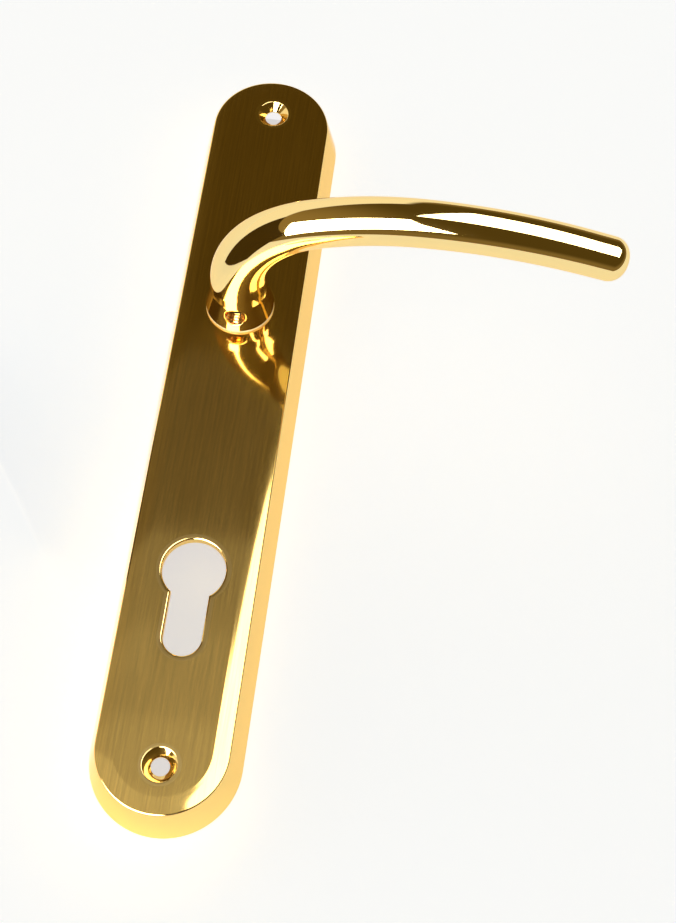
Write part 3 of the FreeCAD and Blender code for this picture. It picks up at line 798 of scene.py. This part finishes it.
        outside = rounded_profile([
            Corner(self.flare - self.margin, 0.0), Corner(self.flare, 0.0, 0.3),
            Corner(0.0, self.edge_height, self.edge_round),
            Corner(-self.bevel * 0.5, self.edge_height + (self.face - self.edge_height) * self.crown, 40.0),
            Corner(-self.bevel, self.face, 10.0), Corner(-self.bevel - 0.6, self.face)], False, 8)
        shell = [skin.loop(*self.outline(point.x, point.y, normal)) for point, normal in mirrored(outside)]
        edge_row = next(i for i, (point, _) in enumerate(outside) if point.y > self.edge_height - 0.02)
        skin.chain(shell[:edge_row + 1], border_slot)
        skin.chain(shell[edge_row:], face_slot)

        inner_foot = self.flare - self.wall
        inner_top = inner_foot - self.roof * lean
        inside = rounded_profile([
            Corner(self.flare - self.margin, 0.0), Corner(inner_foot, 0.0, 0.2),
            Corner(inner_top, self.roof, self.inner_round), Corner(inner_top - 3.0, self.roof)], False, 5)
        hollow = [skin.loop(*self.outline(point.x, point.y, normal)) for point, normal in inside]
        skin.bridge(shell[0], hollow[0], back_slot)
        skin.chain(hollow, back_slot)

        face_holes, roof_holes = [], []
        for y in self.fixings:
            rings = self.rings(skin, y, [
                Corner(self.sink_radius + self.margin, self.face), Corner(self.sink_radius, self.face, 0.3),
                Corner(self.hole_radius, self.face - self.sink_radius + self.hole_radius, 0.15),
                Corner(self.hole_radius, self.roof, 0.1), Corner(self.hole_radius + self.margin, self.roof)])
            skin.chain(rings, border_slot)
            face_holes.append(rings[0])
            roof_holes.append(rings[-1])
        rings = self.rings(skin, 0.0, [
            Corner(self.bush_radius + self.margin, self.face), Corner(self.bush_radius, self.face, 0.1),
            Corner(self.bush_radius, self.roof, 0.1), Corner(self.bush_radius + 1.5, self.roof)])
        skin.chain(rings, border_slot)
        face_holes.append(rings[0])
        roof_holes.append(rings[-1])
        for y in (self.screw_place, -self.screw_place):
            rings = self.rings(skin, y, [
                Corner(self.tap_radius, self.tap_top), Corner(self.tap_radius, self.boss_low, 0.15),
                Corner(self.boss_radius, self.boss_low, 0.3), Corner(self.boss_radius, self.roof, 0.8),
                Corner(self.boss_radius + self.margin, self.roof)])
            skin.chain(rings, back_slot)
            skin.cap(rings[0], back_slot)
            roof_holes.append(rings[-1])

        rim = rounded_profile([
            Corner(self.rim_round + self.margin, self.face), Corner(0.0, self.face, self.rim_round),
            Corner(0.0, self.roof, 0.2), Corner(self.margin, self.roof)], False, 7)
        cut = [skin.loop(*self.euro(point.x, point.y, normal)) for point, normal in rim]
        skin.chain(cut, border_slot)
        face_holes.append(cut[0])
        roof_holes.append(cut[-1])

        skin.fill(shell[-1], face_holes, face_slot)
        skin.fill(hollow[-1], roof_holes, back_slot)
        return skin

    def rings(self, skin: Skin, y: float, corners: Sequence[Corner]) -> list[list[int]]:
        """Add the rings of one round hole or boss."""
        profile = rounded_profile(corners, False, 5)
        return [skin.loop(*self.hole(point.x, point.y, normal, y)) for point, normal in profile]

    def make(self) -> None:
        """Build and dress the plate."""
        plate = self.mesh().build("plate_shell", (FACE_BRASS, BORDER_BRASS, BACK_BRASS))
        settle(plate, "plate", "plate_brass", "back_plate")


def mirrored(profile: Sequence[tuple[Vector, Optional[Vector]]]) -> list[tuple[Vector, Optional[Vector]]]:
    """Turn a profile's normals to the other side."""
    return [(point, None if normal is None else -normal) for point, normal in profile]


def settle(piece: bpy.types.Object, body: str, slot: str, *nodes: str) -> None:
    """Put a piece on its body and hide the frame nodes that it stands for."""
    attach(piece, body)
    if nodes:
        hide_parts(*nodes)
    log.info("%s rides on %s, %d faces", piece.name, body, len(piece.data.polygons))


# ------------------------------------------------------------------------------ lever

@dataclass(frozen=True)
class Bend:
    """One bend of the lever: its radius and the direction, from upright, where it ends."""

    radius: float
    end: float


@dataclass(frozen=True)
class Station:
    """A place along the lever: its centre, its direction from upright, its radius and taper."""

    x: float
    z: float
    angle: float
    radius: float
    taper: float


@dataclass
class Lever:
    """The cast lever: neck, bend, arm and rounded end, with the spigot and socket below.

    Sizes are in millimetres.

    Attributes:
        neck_radius: Radius of the neck's foot.
        throat_radius: Radius of the neck above its flare.
        flare_height: Height of the flare.
        flare_power: How sharply the flare dies out.
        arm_radius: Radius where the first bend ends.
        slim_power: How the radius falls through the first bend.
        end_radius: Radius at the free end.
        neck_top: Height where the neck starts to bend.
        bends: The bends from the neck to the end.
        tip_round: Rounding of the free end.
        around: Points round the lever.
        spacing: Distance between its rings.
        socket_half: Half width of the spindle's socket.
        socket_top: Height that the socket reaches.
        flat_half: Half width over the spigot's flats.
        spigot_radius: Radius of the spigot.
        groove_radius: Radius in the retaining ring's groove.
        chamfer: Chamfer at the spigot's end.
        socket_chamfer: Chamfer at the socket's mouth.
        grub_height: Height of the grub screw's hole.
    """

    neck_radius: float = 10.0
    throat_radius: float = 8.4
    flare_height: float = 9.0
    flare_power: float = 1.3
    arm_radius: float = 6.71
    slim_power: float = 1.3
    end_radius: float = 6.15
    neck_top: float = 27.8
    bends: tuple[Bend, ...] = (Bend(34.5, 68.1), Bend(86.5, 87.7), Bend(159.0, 104.0))
    tip_round: float = 4.8
    around: int = 160
    spacing: float = 0.6
    socket_half: float = 4.0
    socket_top: float = 35.0
    flat_half: float = 6.5
    spigot_radius: float = 8.0
    groove_radius: float = 7.2
    chamfer: float = 0.4
    socket_chamfer: float = 0.2
    grub_height: float = 20.3

    def __post_init__(self) -> None:
        """Read the lever's reach and lowest point from the frame."""
        low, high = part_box("lever_handle")
        last = math.radians(self.bends[-1].end)
        flat = self.end_radius - self.tip_round
        self.reach = high.x / MM - self.tip_round - flat * abs(math.cos(last)) - 0.02
        self.spigot_low = low.z / MM
        self.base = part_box("neck_bush")[1].z / MM + 0.05

    def walk(self, along: float) -> tuple[float, float, float]:
        """Return the centre's X and Z and its direction, in radians, at a length along the lever."""
        straight = self.neck_top - self.base
        if along <= straight:
            return 0.0, self.base + along, 0.0
        along -= straight
        x, z, angle = 0.0, self.neck_top, 0.0
        for bend in self.bends:
            length = bend.radius * (math.radians(bend.end) - angle)
            part = min(along, length)
            new = angle + part / bend.radius
            x += bend.radius * (math.cos(angle) - math.cos(new))
            z += bend.radius * (math.sin(new) - math.sin(angle))
            angle = new
            along -= part
            if along <= 0.0:
                return x, z, angle
        return x + along * math.sin(angle), z + along * math.cos(angle), angle

    @property
    def length(self) -> float:
        """The centreline's length up to where the end starts to round."""
        straight = self.neck_top - self.base
        total = straight
        angle = 0.0
        for bend in self.bends:
            total += bend.radius * (math.radians(bend.end) - angle)
            angle = math.radians(bend.end)
        x = self.walk(total)[0]
        return total + (self.reach - x) / math.sin(angle)

    def radius(self, along: float) -> float:
        """Return the lever's radius at a length along it."""
        straight = self.neck_top - self.base
        bend_end = straight + self.bends[0].radius * math.radians(self.bends[0].end)
        if along < bend_end:
            share = max(0.0, (along - straight) / (bend_end - straight))
            arm = self.arm_radius + (self.throat_radius - self.arm_radius) * (1.0 - share) ** self.slim_power
        else:
            share = (along - bend_end) / (self.length - bend_end)
            arm = self.arm_radius + (self.end_radius - self.arm_radius) * share
        flare = max(0.0, 1.0 - along / self.flare_height)
        return arm + (self.neck_radius - self.throat_radius) * flare ** self.flare_power

    def ring(self, station: Station) -> tuple[list[Vector], list[Vector]]:
        """Walk round the lever at one station, with the true normals."""
        centre = Vector((station.x, 0.0, station.z))
        ahead = Vector((math.sin(station.angle), 0.0, math.cos(station.angle)))
        side = Vector((math.cos(station.angle), 0.0, -math.sin(station.angle)))
        places, normals = [], []
        for k in range(self.around):
            angle = TURN * k / self.around
            spoke = side * math.cos(angle) + Vector((0.0, 1.0, 0.0)) * math.sin(angle)
            places.append(centre + spoke * station.radius)
            normals.append((spoke - ahead * station.taper).normalized())
        return places, normals

    def stations(self) -> list[Station]:
        """Return the stations from the neck's foot to where the end starts to round."""
        count = round(self.length / self.spacing)
        out = []
        for k in range(count + 1):
            along = self.length * k / count
            x, z, angle = self.walk(along)
            taper = (self.radius(along + TAPER_STEP) - self.radius(along - TAPER_STEP)) / (2.0 * TAPER_STEP)
            out.append(Station(x, z, angle, self.radius(along), taper))
        return out

    def tip(self, skin: Skin) -> list[list[int]]:
        """Add the rings that round the free end over to a slightly crowned flat."""
        x, z, angle = self.walk(self.length)
        end = self.radius(self.length)
        ahead = Vector((math.sin(angle), 0.0, math.cos(angle)))
        rings = []
        steps = 22
        flat = end - self.tip_round
        for k in range(1, steps + 1):
            turn = math.pi / 2.0 * k / steps
            centre = Vector((x, 0.0, z)) + ahead * self.tip_round * math.sin(turn)
            radius = flat + self.tip_round * math.cos(turn)
            station = Station(centre.x, centre.z, angle, radius, 0.0)
            places, spokes = self.ring(station)
            normals = [spoke * math.cos(turn) + ahead * math.sin(turn) for spoke in spokes]
            rings.append(skin.loop(places, normals))
        centre = Vector((x, 0.0, z)) + ahead * self.tip_round
        for share in (0.6, 0.25):
            places, _ = self.ring(Station(centre.x, centre.z, angle, flat * share, 0.0))
            rings.append(skin.loop(places, [ahead] * self.around))
        return rings

    def mesh(self) -> Skin:
        """Build the lever as one closed skin."""
        skin = Skin()
        neck = GrubHole(self)
        body = [skin.loop(*self.ring(station)) for station in self.stations()]
        neck.open_in(skin, body)
        rings = self.tip(skin)
        skin.chain([body[-1]] + rings)
        skin.cap(rings[-1])

        foot = self.foot(skin)
        skin.bridge(foot[0], body[0])
        skin.chain(foot, 1)
        skin.cap(foot[-1], 1)
        return skin

    def foot(self, skin: Skin) -> list[list[int]]:
        """Add the rings under the neck: the spigot with its flats and groove, and the socket."""
        def flatted(radius: float, angle: float) -> float:
            """Return a round's radius at an angle, cut back to the flats."""
            return min(radius, self.flat_half / max(abs(math.cos(angle)), 1e-6))

        def square(half: float, angle: float) -> float:
            """Return a square's reach at an angle."""
            return half / max(abs(math.cos(angle)), abs(math.sin(angle)))

        low, spigot = self.spigot_low, self.spigot_radius
        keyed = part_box("drive_plate")[1].z / MM
        ring_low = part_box("retaining_ring")[0].z / MM
        ring_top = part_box("retaining_ring")[1].z / MM
        rows: list[tuple[Callable[[float], float], float]] = [
            (lambda a: self.neck_radius - 0.35, self.base),
            (lambda a: spigot, self.base), (lambda a: spigot, keyed),
            (lambda a: flatted(spigot, a), keyed), (lambda a: flatted(spigot, a), ring_top),
            (lambda a: flatted(self.groove_radius, a), ring_top),
            (lambda a: flatted(self.groove_radius, a), ring_low),
            (lambda a: flatted(spigot, a), ring_low), (lambda a: flatted(spigot, a), low + self.chamfer),
            (lambda a: flatted(spigot - self.chamfer, a), low),
            (lambda a: square(self.socket_half + self.socket_chamfer, a), low),
            (lambda a: square(self.socket_half, a), low + self.socket_chamfer),
            (lambda a: square(self.socket_half, a), self.socket_top)]
        rings = []
        for radius_at, height in rows:
            places = []
            for k in range(self.around):
                angle = TURN * k / self.around
                radius = radius_at(angle)
                places.append(Vector((radius * math.cos(angle), radius * math.sin(angle), height)))
            rings.append(skin.loop(places, [None] * self.around))
        return rings

    def make(self) -> None:
        """Build and dress the lever."""
        lever = self.mesh().build("lever_casting", (LEVER_BRASS, BACK_BRASS, HOLE_BRASS))
        settle(lever, "lever", "lever_brass", "lever_handle")


@dataclass
class GrubHole:
    """The threaded hole in the neck's side, opened in the lever's own skin.

    A patch of the neck's faces gives way to rings that run from the patch's edge to the hole's
    mouth, all on the neck's surface, and the thread goes in from there.
    """

    lever: Lever
    radius: float = 3.0
    lip: float = 0.28
    pitch: float = 1.0
    thread: float = 0.42
    patch_half: int = 22
    patch_rows: int = 8
    blend_rings: int = 8

    def surface_y(self, x: float, z: float) -> tuple[float, Vector]:
        """Return the neck's outer Y, on the -Y side, and its normal at a place."""
        along = z - self.lever.base
        for _ in range(12):
            cx, cz, angle = self.lever.walk(along)
            ahead = Vector((math.sin(angle), 0.0, math.cos(angle)))
            along += (Vector((x, 0.0, z)) - Vector((cx, 0.0, cz))).dot(ahead)
        cx, cz, angle = self.lever.walk(along)
        side = Vector((math.cos(angle), 0.0, -math.sin(angle)))
        ahead = Vector((math.sin(angle), 0.0, math.cos(angle)))
        across = (Vector((x, 0.0, z)) - Vector((cx, 0.0, cz))).dot(side)
        radius = self.lever.radius(along)
        depth = math.sqrt(max(radius ** 2 - across ** 2, 1e-9))
        taper = self.lever.radius(along + TAPER_STEP) - self.lever.radius(along - TAPER_STEP)
        taper /= 2.0 * TAPER_STEP
        spoke = (side * across + Vector((0.0, -depth, 0.0))) / radius
        return -depth, (spoke - ahead * taper).normalized()

    def open_in(self, skin: Skin, body: Sequence[Sequence[int]]) -> None:
        """Join the lever's rings, leaving the patch open and filling it with the hole."""
        around = self.lever.around
        middle = round(around * 0.75)
        heights = [skin.points[ring[middle]].z for ring in body]
        row = min(range(len(body)), key=lambda i: abs(heights[i] - self.lever.grub_height))
        rows = range(row - self.patch_rows, row + self.patch_rows)
        columns = range(middle - self.patch_half, middle + self.patch_half)
        for i, (first, second) in enumerate(zip(body, body[1:])):
            for k in range(around):
                if i in rows and k in columns:
                    continue
                j = (k + 1) % around
                skin.faces.append((first[k], first[j], second[j], second[k]))
                skin.slots.append(0)
        edge = [body[rows[0]][k] for k in columns]
        edge += [body[i][columns[-1] + 1] for i in rows]
        edge += [body[rows[-1] + 1][k + 1] for k in reversed(columns)]
        edge += [body[i + 1][columns[0]] for i in reversed(rows)]
        self.fill_patch(skin, edge)

    def fill_patch(self, skin: Skin, edge: Sequence[int]) -> None:
        """Add the rings from the patch's edge to the mouth, and the threaded wall inside."""
        axis = Vector((0.0, 0.0, self.lever.grub_height))
        angles = []
        for number in edge:
            place = skin.points[number] - axis
            angles.append(math.atan2(place.z, place.x))
        mouth = self.radius + self.lip
        rings = [list(edge)]
        for step in range(1, self.blend_rings + 1):
            share = step / self.blend_rings
            places, normals = [], []
            for number, angle in zip(edge, angles):
                start = skin.points[number]
                x = start.x + (mouth * math.cos(angle) - start.x) * share
                z = start.z + (axis.z + mouth * math.sin(angle) - start.z) * share
                y, normal = self.surface_y(x, z)
                places.append(Vector((x, y, z)))
                normals.append(normal)
            rings.append(skin.loop(places, normals))
        skin.chain(rings, 0)
        self.fill_thread(skin, rings[-1], angles)

    def fill_thread(self, skin: Skin, mouth: Sequence[int], angles: Sequence[float]) -> None:
        """Round the lip over and run the thread in to the screw."""
        rings = [list(mouth)]
        for step in range(1, 5):
            turn = math.pi / 2.0 * step / 4
            radius = self.radius + self.lip * (1.0 - math.sin(turn))
            places, normals = [], []
            for angle in angles:
                x = radius * math.cos(angle)
                z = self.lever.grub_height + radius * math.sin(angle)
                y, normal = self.surface_y(x, z)
                places.append(Vector((x, y + self.lip * (1.0 - math.cos(turn)), z)))
                inward = Vector((-math.cos(angle), 0.0, -math.sin(angle)))
                normals.append((normal * math.cos(turn) + inward * math.sin(turn)).normalized())
            rings.append(skin.loop(places, normals))
        skin.chain(rings, 0)
        start = [skin.points[number].y for number in rings[-1]]
        end = -4.0
        rows = 40
        wall = [rings[-1]]
        for step in range(1, rows + 1):
            places = []
            for first, angle in zip(start, angles):
                y = first + (end - first) * step / rows
                phase = (y / self.pitch + angle / TURN) % 1.0
                ridge = 1.0 - abs(2.0 * phase - 1.0)
                fade = min(1.0, step / 4.0)
                radius = self.radius - self.thread * ridge * fade
                places.append(Vector((radius * math.cos(angle), y,
                                      self.lever.grub_height + radius * math.sin(angle))))
            wall.append(skin.loop(places, [None] * len(places)))
        skin.chain(wall, 2)
        skin.cap(wall[-1], 2)


# ------------------------------------------------------------------------------ small parts

@dataclass
class NeckBush:
    """The flanged nylon bush whose thin ring shows under the neck."""

    sleeve: float = 9.45
    bore: float = 8.08

    def make(self) -> None:
        """Build and dress the bush."""
        low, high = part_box("neck_bush")
        flange = high.x / MM
        top = high.z / MM
        seat = BackPlate().face
        corners = [Corner(self.bore, low.z / MM, 0.15), Corner(self.bore, top, 0.15), Corner(flange, top, 0.3),
                   Corner(flange, seat + 0.02, 0.2), Corner(self.sleeve, seat + 0.02, 0.1),
                   Corner(self.sleeve, low.z / MM, 0.3)]
        bush = lathe("neck_ring", corners, (NYLON,), 128)
        settle(bush, "plate", "nylon", "neck_bush")


@dataclass
class GrubScrew:
    """The blackened socket screw that clamps the lever on its spindle."""

    radius: float = 2.5
    key: float = 1.5
    key_depth: float = 1.1
    chamfer: float = 0.4

    def make(self) -> None:
        """Build and dress the screw, lying along Y in the neck's hole."""
        low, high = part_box("grub_screw")
        start, end = low.y / MM, high.y / MM
        middle = (low.z + high.z) / 2.0 / MM
        skin = Skin()
        count = 96
        rows = [(self.key * 0.02, start + self.key_depth + 0.2, True), (self.key, start + self.key_depth, True),
                (self.key, start + 0.05, True), (self.key + 0.12, start, True),
                (self.radius - self.chamfer, start, False), (self.radius, start + self.chamfer, False),
                (self.radius, end - 0.3, False), (self.radius - 0.5, end, False), (0.05, end, False)]
        rings = []
        for radius, y, hexagon in rows:
            places = []
            for k in range(count):
                angle = TURN * k / count
                size = radius
                if hexagon:
                    size = radius / math.cos((angle + math.pi / 6) % (math.pi / 3) - math.pi / 6)
                places.append(Vector((size * math.cos(angle), y, middle + size * math.sin(angle))))
            rings.append(skin.loop(places, [None] * count))
        skin.chain(rings)
        skin.cap(rings[0])
        skin.cap(rings[-1])
        screw = skin.build("grub_screw_detail", (BLACK_STEEL,))
        settle(screw, "lever", "blackened_steel", "grub_screw")


@dataclass
class ReturnSpring:
    """The torsion spring in the cassette, with bent legs."""

    wire: float = 0.64
    coil: float = 10.6
    bend: float = 2.8
    leg_x: float = 1.7
    sides: int = 20

    def path(self) -> list[tuple[Vector, Vector]]:
        """Walk the wire from one leg's end to the other, with its direction."""
        low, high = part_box("return_spring")
        bottom, top = low.z / MM + self.wire, high.z / MM - self.wire
        leg_end = high.y / MM
        bend_y = math.sqrt((self.coil + self.bend) ** 2 - (self.leg_x + self.bend) ** 2)
        joint = math.atan2(bend_y, -self.leg_x - self.bend)
        lead: list[tuple[float, float, float]] = []
        for k in range(6):
            lead.append((-self.leg_x, leg_end + (bend_y - leg_end) * k / 6, -math.pi / 2))
        for k in range(13):
            turn = (joint - math.pi) * k / 12
            lead.append((-self.leg_x - self.bend + self.bend * math.cos(turn),
                         bend_y + self.bend * math.sin(turn), turn - math.pi / 2))
        sweep = 2 * TURN - 2 * (joint - math.pi / 2)
        steps = 180
        path = [(Vector((x, y, bottom)), heading) for x, y, heading in lead]
        for k in range(1, steps):
            angle = joint + sweep * k / steps
            height = bottom + (top - bottom) * k / steps
            place = Vector((self.coil * math.cos(angle), self.coil * math.sin(angle), height))
            path.append((place, angle + math.pi / 2))
        path += [(Vector((-x, y, top)), -heading) for x, y, heading in reversed(lead)]
        return [(place, Vector((math.cos(heading), math.sin(heading), 0.0))) for place, heading in path]

    def make(self) -> None:
        """Build and dress the spring."""
        skin = Skin()
        rings = []
        for place, ahead in self.path():
            side = ahead.cross(UP)
            places, normals = [], []
            for k in range(self.sides):
                angle = TURN * k / self.sides
                spoke = side * math.cos(angle) + UP * math.sin(angle)
                places.append(place + spoke * self.wire)
                normals.append(spoke)
            rings.append(skin.loop(places, normals))
        skin.chain(rings)
        skin.cap(rings[0])
        skin.cap(rings[-1])
        spring = skin.build("torsion_spring", (SPRING_WIRE,))
        settle(spring, "plate", "spring_steel", "return_spring")


@dataclass
class CoverScrews:
    """The two screws that hold the cassette's cover, with a small round recess in each head."""

    slot_depth: float = 0.6
    core: float = 0.4
    shank: float = 1.42

    def make(self) -> None:
        """Build and dress both screws."""
        for side in ("upper", "lower"):
            low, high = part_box("cover_screw_" + side)
            y = (low.y + high.y) / 2.0 / MM
            head = (high.x - low.x) / 2.0 / MM
            bottom, top = low.z / MM, high.z / MM
            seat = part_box("lock_washer_" + side)[0].z / MM
            end = top - 0.02
            corners = [Corner(self.core, bottom + self.slot_depth), Corner(self.core, end),
                       Corner(self.shank, end, 0.3), Corner(self.shank, seat, 0.1), Corner(head, seat, 0.12),
                       Corner(head, bottom, 0.45), Corner(head * 0.5, bottom), Corner(self.core, bottom)]
            screw = lathe("cassette_screw_" + side, corners, (ZINC,), 64, (0.0, y), 4)
            settle(screw, "plate", "zinc_plated_steel", "cover_screw_" + side)


class Dress(Enum):
    """Finishes of the frame nodes that keep their own shape."""

    NYLON = NYLON
    ZINC = ZINC
    TURNED = TURNED
    SPRING = SPRING_WIRE


@dataclass
class Cassette:
    """The spring cassette's own nodes, dressed where they stand."""

    dress: dict[str, Dress] = field(default_factory=lambda: {
        "thrust_washer": Dress.NYLON, "cassette_cup": Dress.ZINC, "drive_plate": Dress.TURNED,
        "spring_washer": Dress.SPRING, "retaining_ring": Dress.SPRING, "anchor_pin": Dress.TURNED,
        "stop_pin_left": Dress.TURNED, "stop_pin_right": Dress.TURNED, "cassette_rivet_left": Dress.TURNED,
        "cassette_rivet_right": Dress.TURNED, "cassette_cover": Dress.ZINC, "lock_washer_upper": Dress.SPRING,
        "lock_washer_lower": Dress.SPRING})

    def make(self) -> None:
        """Give each node its finish."""
        for name, finish in self.dress.items():
            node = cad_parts[name]
            if not node.material_slots:
                node.data.materials.append(None)
            for slot in node.material_slots:
                slot.link = "OBJECT"
                slot.material = finish.value.material()
            log.info("%s dressed as %s", name, finish.value.name)


# ------------------------------------------------------------------------------ studio

@dataclass(frozen=True)
class Softbox:
    """A flat studio light with a crisp edge.

    Attributes:
        name: The light's name.
        place: Its centre, in metres.
        size: Its width and height, in metres.
        aim: The point that it faces.
        across: The direction of its width.
        brightness: How bright its face looks, with the table at one.
        shape: RECTANGLE or ELLIPSE.
        lit: Names of the pieces that it lights, by light linking; it leaves all others unlit.
    """

    name: str
    place: tuple[float, float, float]
    size: tuple[float, float]
    aim: tuple[float, float, float]
    across: tuple[float, float, float]
    brightness: float
    shape: str
    lit: tuple[str, ...]

    def make(self) -> None:
        """Add the light to the scene."""
        data = bpy.data.lights.new(self.name, "AREA")
        data.shape = self.shape
        data.size, data.size_y = self.size
        area = self.size[0] * self.size[1] * (1.0 if self.shape == "RECTANGLE" else math.pi / 4.0)
        data.energy = self.brightness * area * math.pi
        light = bpy.data.objects.new(self.name, data)
        back = (Vector(self.place) - Vector(self.aim)).normalized()
        across = Vector(self.across)
        across = (across - back * across.dot(back)).normalized()
        axes = Matrix((across, back.cross(across), back)).transposed().to_4x4()
        light.matrix_world = Matrix.Translation(self.place) @ axes
        light.visible_camera = False
        bpy.context.scene.collection.objects.link(light)
        group = bpy.data.collections.new(self.name + " flags")
        for name in self.lit:
            group.objects.link(bpy.data.objects[name])
        light.light_linking.receiver_collection = group


@dataclass
class Studio:
    """The table, the room's glow, the softboxes and the camera."""

    softboxes: tuple[Softbox, ...] = (
        Softbox("front softbox", (-0.44, -0.824, 0.752), (1.03, 1.08), (0.045, 0.0, 0.045), (0.86, -0.16, 0.49),
                13.0, "RECTANGLE", ("lever_casting", "neck_ring", "plate_shell")),
        Softbox("rear strip", (0.186, 0.050, 0.25), (0.26, 0.20), (0.186, 0.050, 0.0), (1.0, -0.3, 0.0),
                6.0, "RECTANGLE", ("lever_casting", "neck_ring")),
        Softbox("plate disc", (0.345, 0.056, 0.98), (0.72, 0.772), (0.345, 0.056, 0.0), (1.0, 0.0, 0.0),
                4.5, "ELLIPSE", ("plate_shell",)),
    )
    haze: tuple[tuple[float, float], ...] = ((0.53, 0.05), (0.34, 0.125), (0.25, 0.06), (0.17, 0.08), (0.10, 0.15))
    haze_near: float = -0.26
    flag: tuple[tuple[float, float, float], ...] = ((-0.085, -0.022, 0.130), (-0.045, -0.080, 0.077))
    flag_lean: float = 0.055
    ceiling: str = "#52431C"
    side_ceiling: str = "#8F7A4C"
    front_wall: str = "#7E6C44"
    far_wall: str = "#FFFCF4"
    table_half: float = 3.0
    table_front: float = -0.37
    lens: float = 62.4
    distance: float = 0.4514
    target: tuple[float, float, float] = (0.0350, -0.0475, 0.0139)
    swing: float = 4.16
    elevation: float = 64.3
    roll: float = 3.17

    def table(self) -> None:
        """Lay the white table under the object."""
        half = self.table_half
        mesh = bpy.data.meshes.new("table")
        front = self.table_front
        corners = [(-half, front, 0.0), (half, front, 0.0), (half, half, 0.0), (-half, half, 0.0)]
        mesh.from_pydata(corners, [], [(0, 1, 2, 3)])
        mesh.materials.append(TABLE.material())
        table = bpy.data.objects.new("table", mesh)
        table.location.z = -0.0002
        bpy.context.scene.collection.objects.link(table)

    def black_flag(self) -> None:
        """Stand a black card left of the camera, which draws the dark shapes in the lever."""
        far, near = self.flag
        mesh = bpy.data.meshes.new("black_flag")
        top = (far[0], far[1] + self.flag_lean, far[2])
        mesh.from_pydata([(*far[:2], 0.0), (*near[:2], 0.0), near, top], [], [(0, 1, 2, 3)])
        mesh.materials.append(GLOWING_FLAG.material())
        flag = bpy.data.objects.new("black_flag", mesh)
        flag.visible_camera = False
        bpy.context.scene.collection.objects.link(flag)

    def room(self) -> None:
        """Light the room: a dark warm ceiling, pale far walls and a dark corner beside the camera."""
        world = bpy.data.worlds.new("studio room")
        bpy.context.scene.world = world
        world.use_nodes = True
        tree = world.node_tree
        way = add(tree, "ShaderNodeTexCoord").outputs["Generated"]

        def toward(direction: tuple[float, float, float], start: float, end: float) -> bpy.types.NodeSocket:
            """Return 0 where the view's cosine to a direction is at start, and 1 where it is at end."""
            unit = Vector(direction).normalized()
            cosine = add(tree, "ShaderNodeVectorMath", {"operation": "DOT_PRODUCT", 1: unit}, {0: way})
            mask = add(tree, "ShaderNodeMapRange",
                       {"interpolation_type": "SMOOTHSTEP", "From Min": start, "From Max": end},
                       {"Value": cosine.outputs["Value"]})
            return mask.outputs["Result"]

        def over(mask: bpy.types.NodeSocket, under: bpy.types.NodeSocket, colour: str) -> bpy.types.NodeSocket:
            """Lay a colour over another where a mask is 1."""
            return add(tree, "ShaderNodeMix", {"data_type": "RGBA", 7: linear(colour)},
                       {0: mask, 6: under}).outputs[2]

        side = toward((-1.0, -0.25, 0.0), 0.0, 0.75)
        base = add(tree, "ShaderNodeMix", {"data_type": "RGBA", 6: linear(self.ceiling), 7: linear(self.side_ceiling)},
                   {0: side}).outputs[2]
        left = toward((-0.9, 1.0, -1.9), -0.02, 0.02)
        beside = toward((-1.0, 0.0, -0.2), -0.02, 0.04)
        wall = add(tree, "ShaderNodeMath", {"operation": "MULTIPLY"}, {0: left, 1: beside}).outputs[0]
        base = over(toward((0.0, 0.0, -1.0), -0.35, -0.05), base, self.front_wall)
        base = over(wall, base, self.far_wall)
        tree.links.new(base, tree.nodes["Background"].inputs["Color"])

    def haze_boxes(self) -> list[Softbox]:
        """Return weak broad lights at rising heights, which brighten the plate in steps towards its foot."""
        boxes = []
        for step, (far, brightness) in enumerate(self.haze):
            middle, depth, height = (far + self.haze_near) / 2.0, far - self.haze_near, 1.0 + 0.02 * step
            boxes.append(Softbox(f"haze {step + 1}", (-0.3, middle, height), (1.4, depth), (-0.3, middle, 0.0),
                                 (1.0, 0.0, 0.0), brightness, "RECTANGLE", ("plate_shell",)))
        return boxes

    def camera(self) -> None:
        """Set the camera at its swing, height and roll about the target."""
        swing, height = math.radians(self.swing), math.radians(self.elevation)
        back = Vector((math.sin(swing) * math.cos(height), -math.cos(swing) * math.cos(height), math.sin(height)))
        right = Vector((math.cos(swing), math.sin(swing), 0.0))
        upward = back.cross(right)
        turn = Matrix.Rotation(math.radians(self.roll), 3, back)
        right, upward = turn @ right, turn @ upward
        data = bpy.data.cameras.new("camera")
        data.lens = self.lens
        data.sensor_fit = "AUTO"
        data.clip_start = 0.01
        camera = bpy.data.objects.new("camera", data)
        axes = Matrix((right, upward, back)).transposed().to_4x4()
        camera.matrix_world = Matrix.Translation(Vector(self.target) + back * self.distance) @ axes
        bpy.context.scene.collection.objects.link(camera)
        bpy.context.scene.camera = camera

    def make(self) -> None:
        """Build the whole studio."""
        self.table()
        self.black_flag()
        self.room()
        for softbox in (*self.softboxes, *self.haze_boxes()):
            softbox.make()
        self.camera()
        bpy.context.scene.view_settings.view_transform = "Standard"


def main() -> None:
    """Build the studio and every sub-assembly in order."""
    logging.basicConfig(level=logging.INFO, format="%(name)s: %(message)s")
    BackPlate().make()
    Lever().make()
    NeckBush().make()
    GrubScrew().make()
    ReturnSpring().make()
    CoverScrews().make()
    Cassette().make()
    Studio().make()


if __name__ == "__main__":
    main()
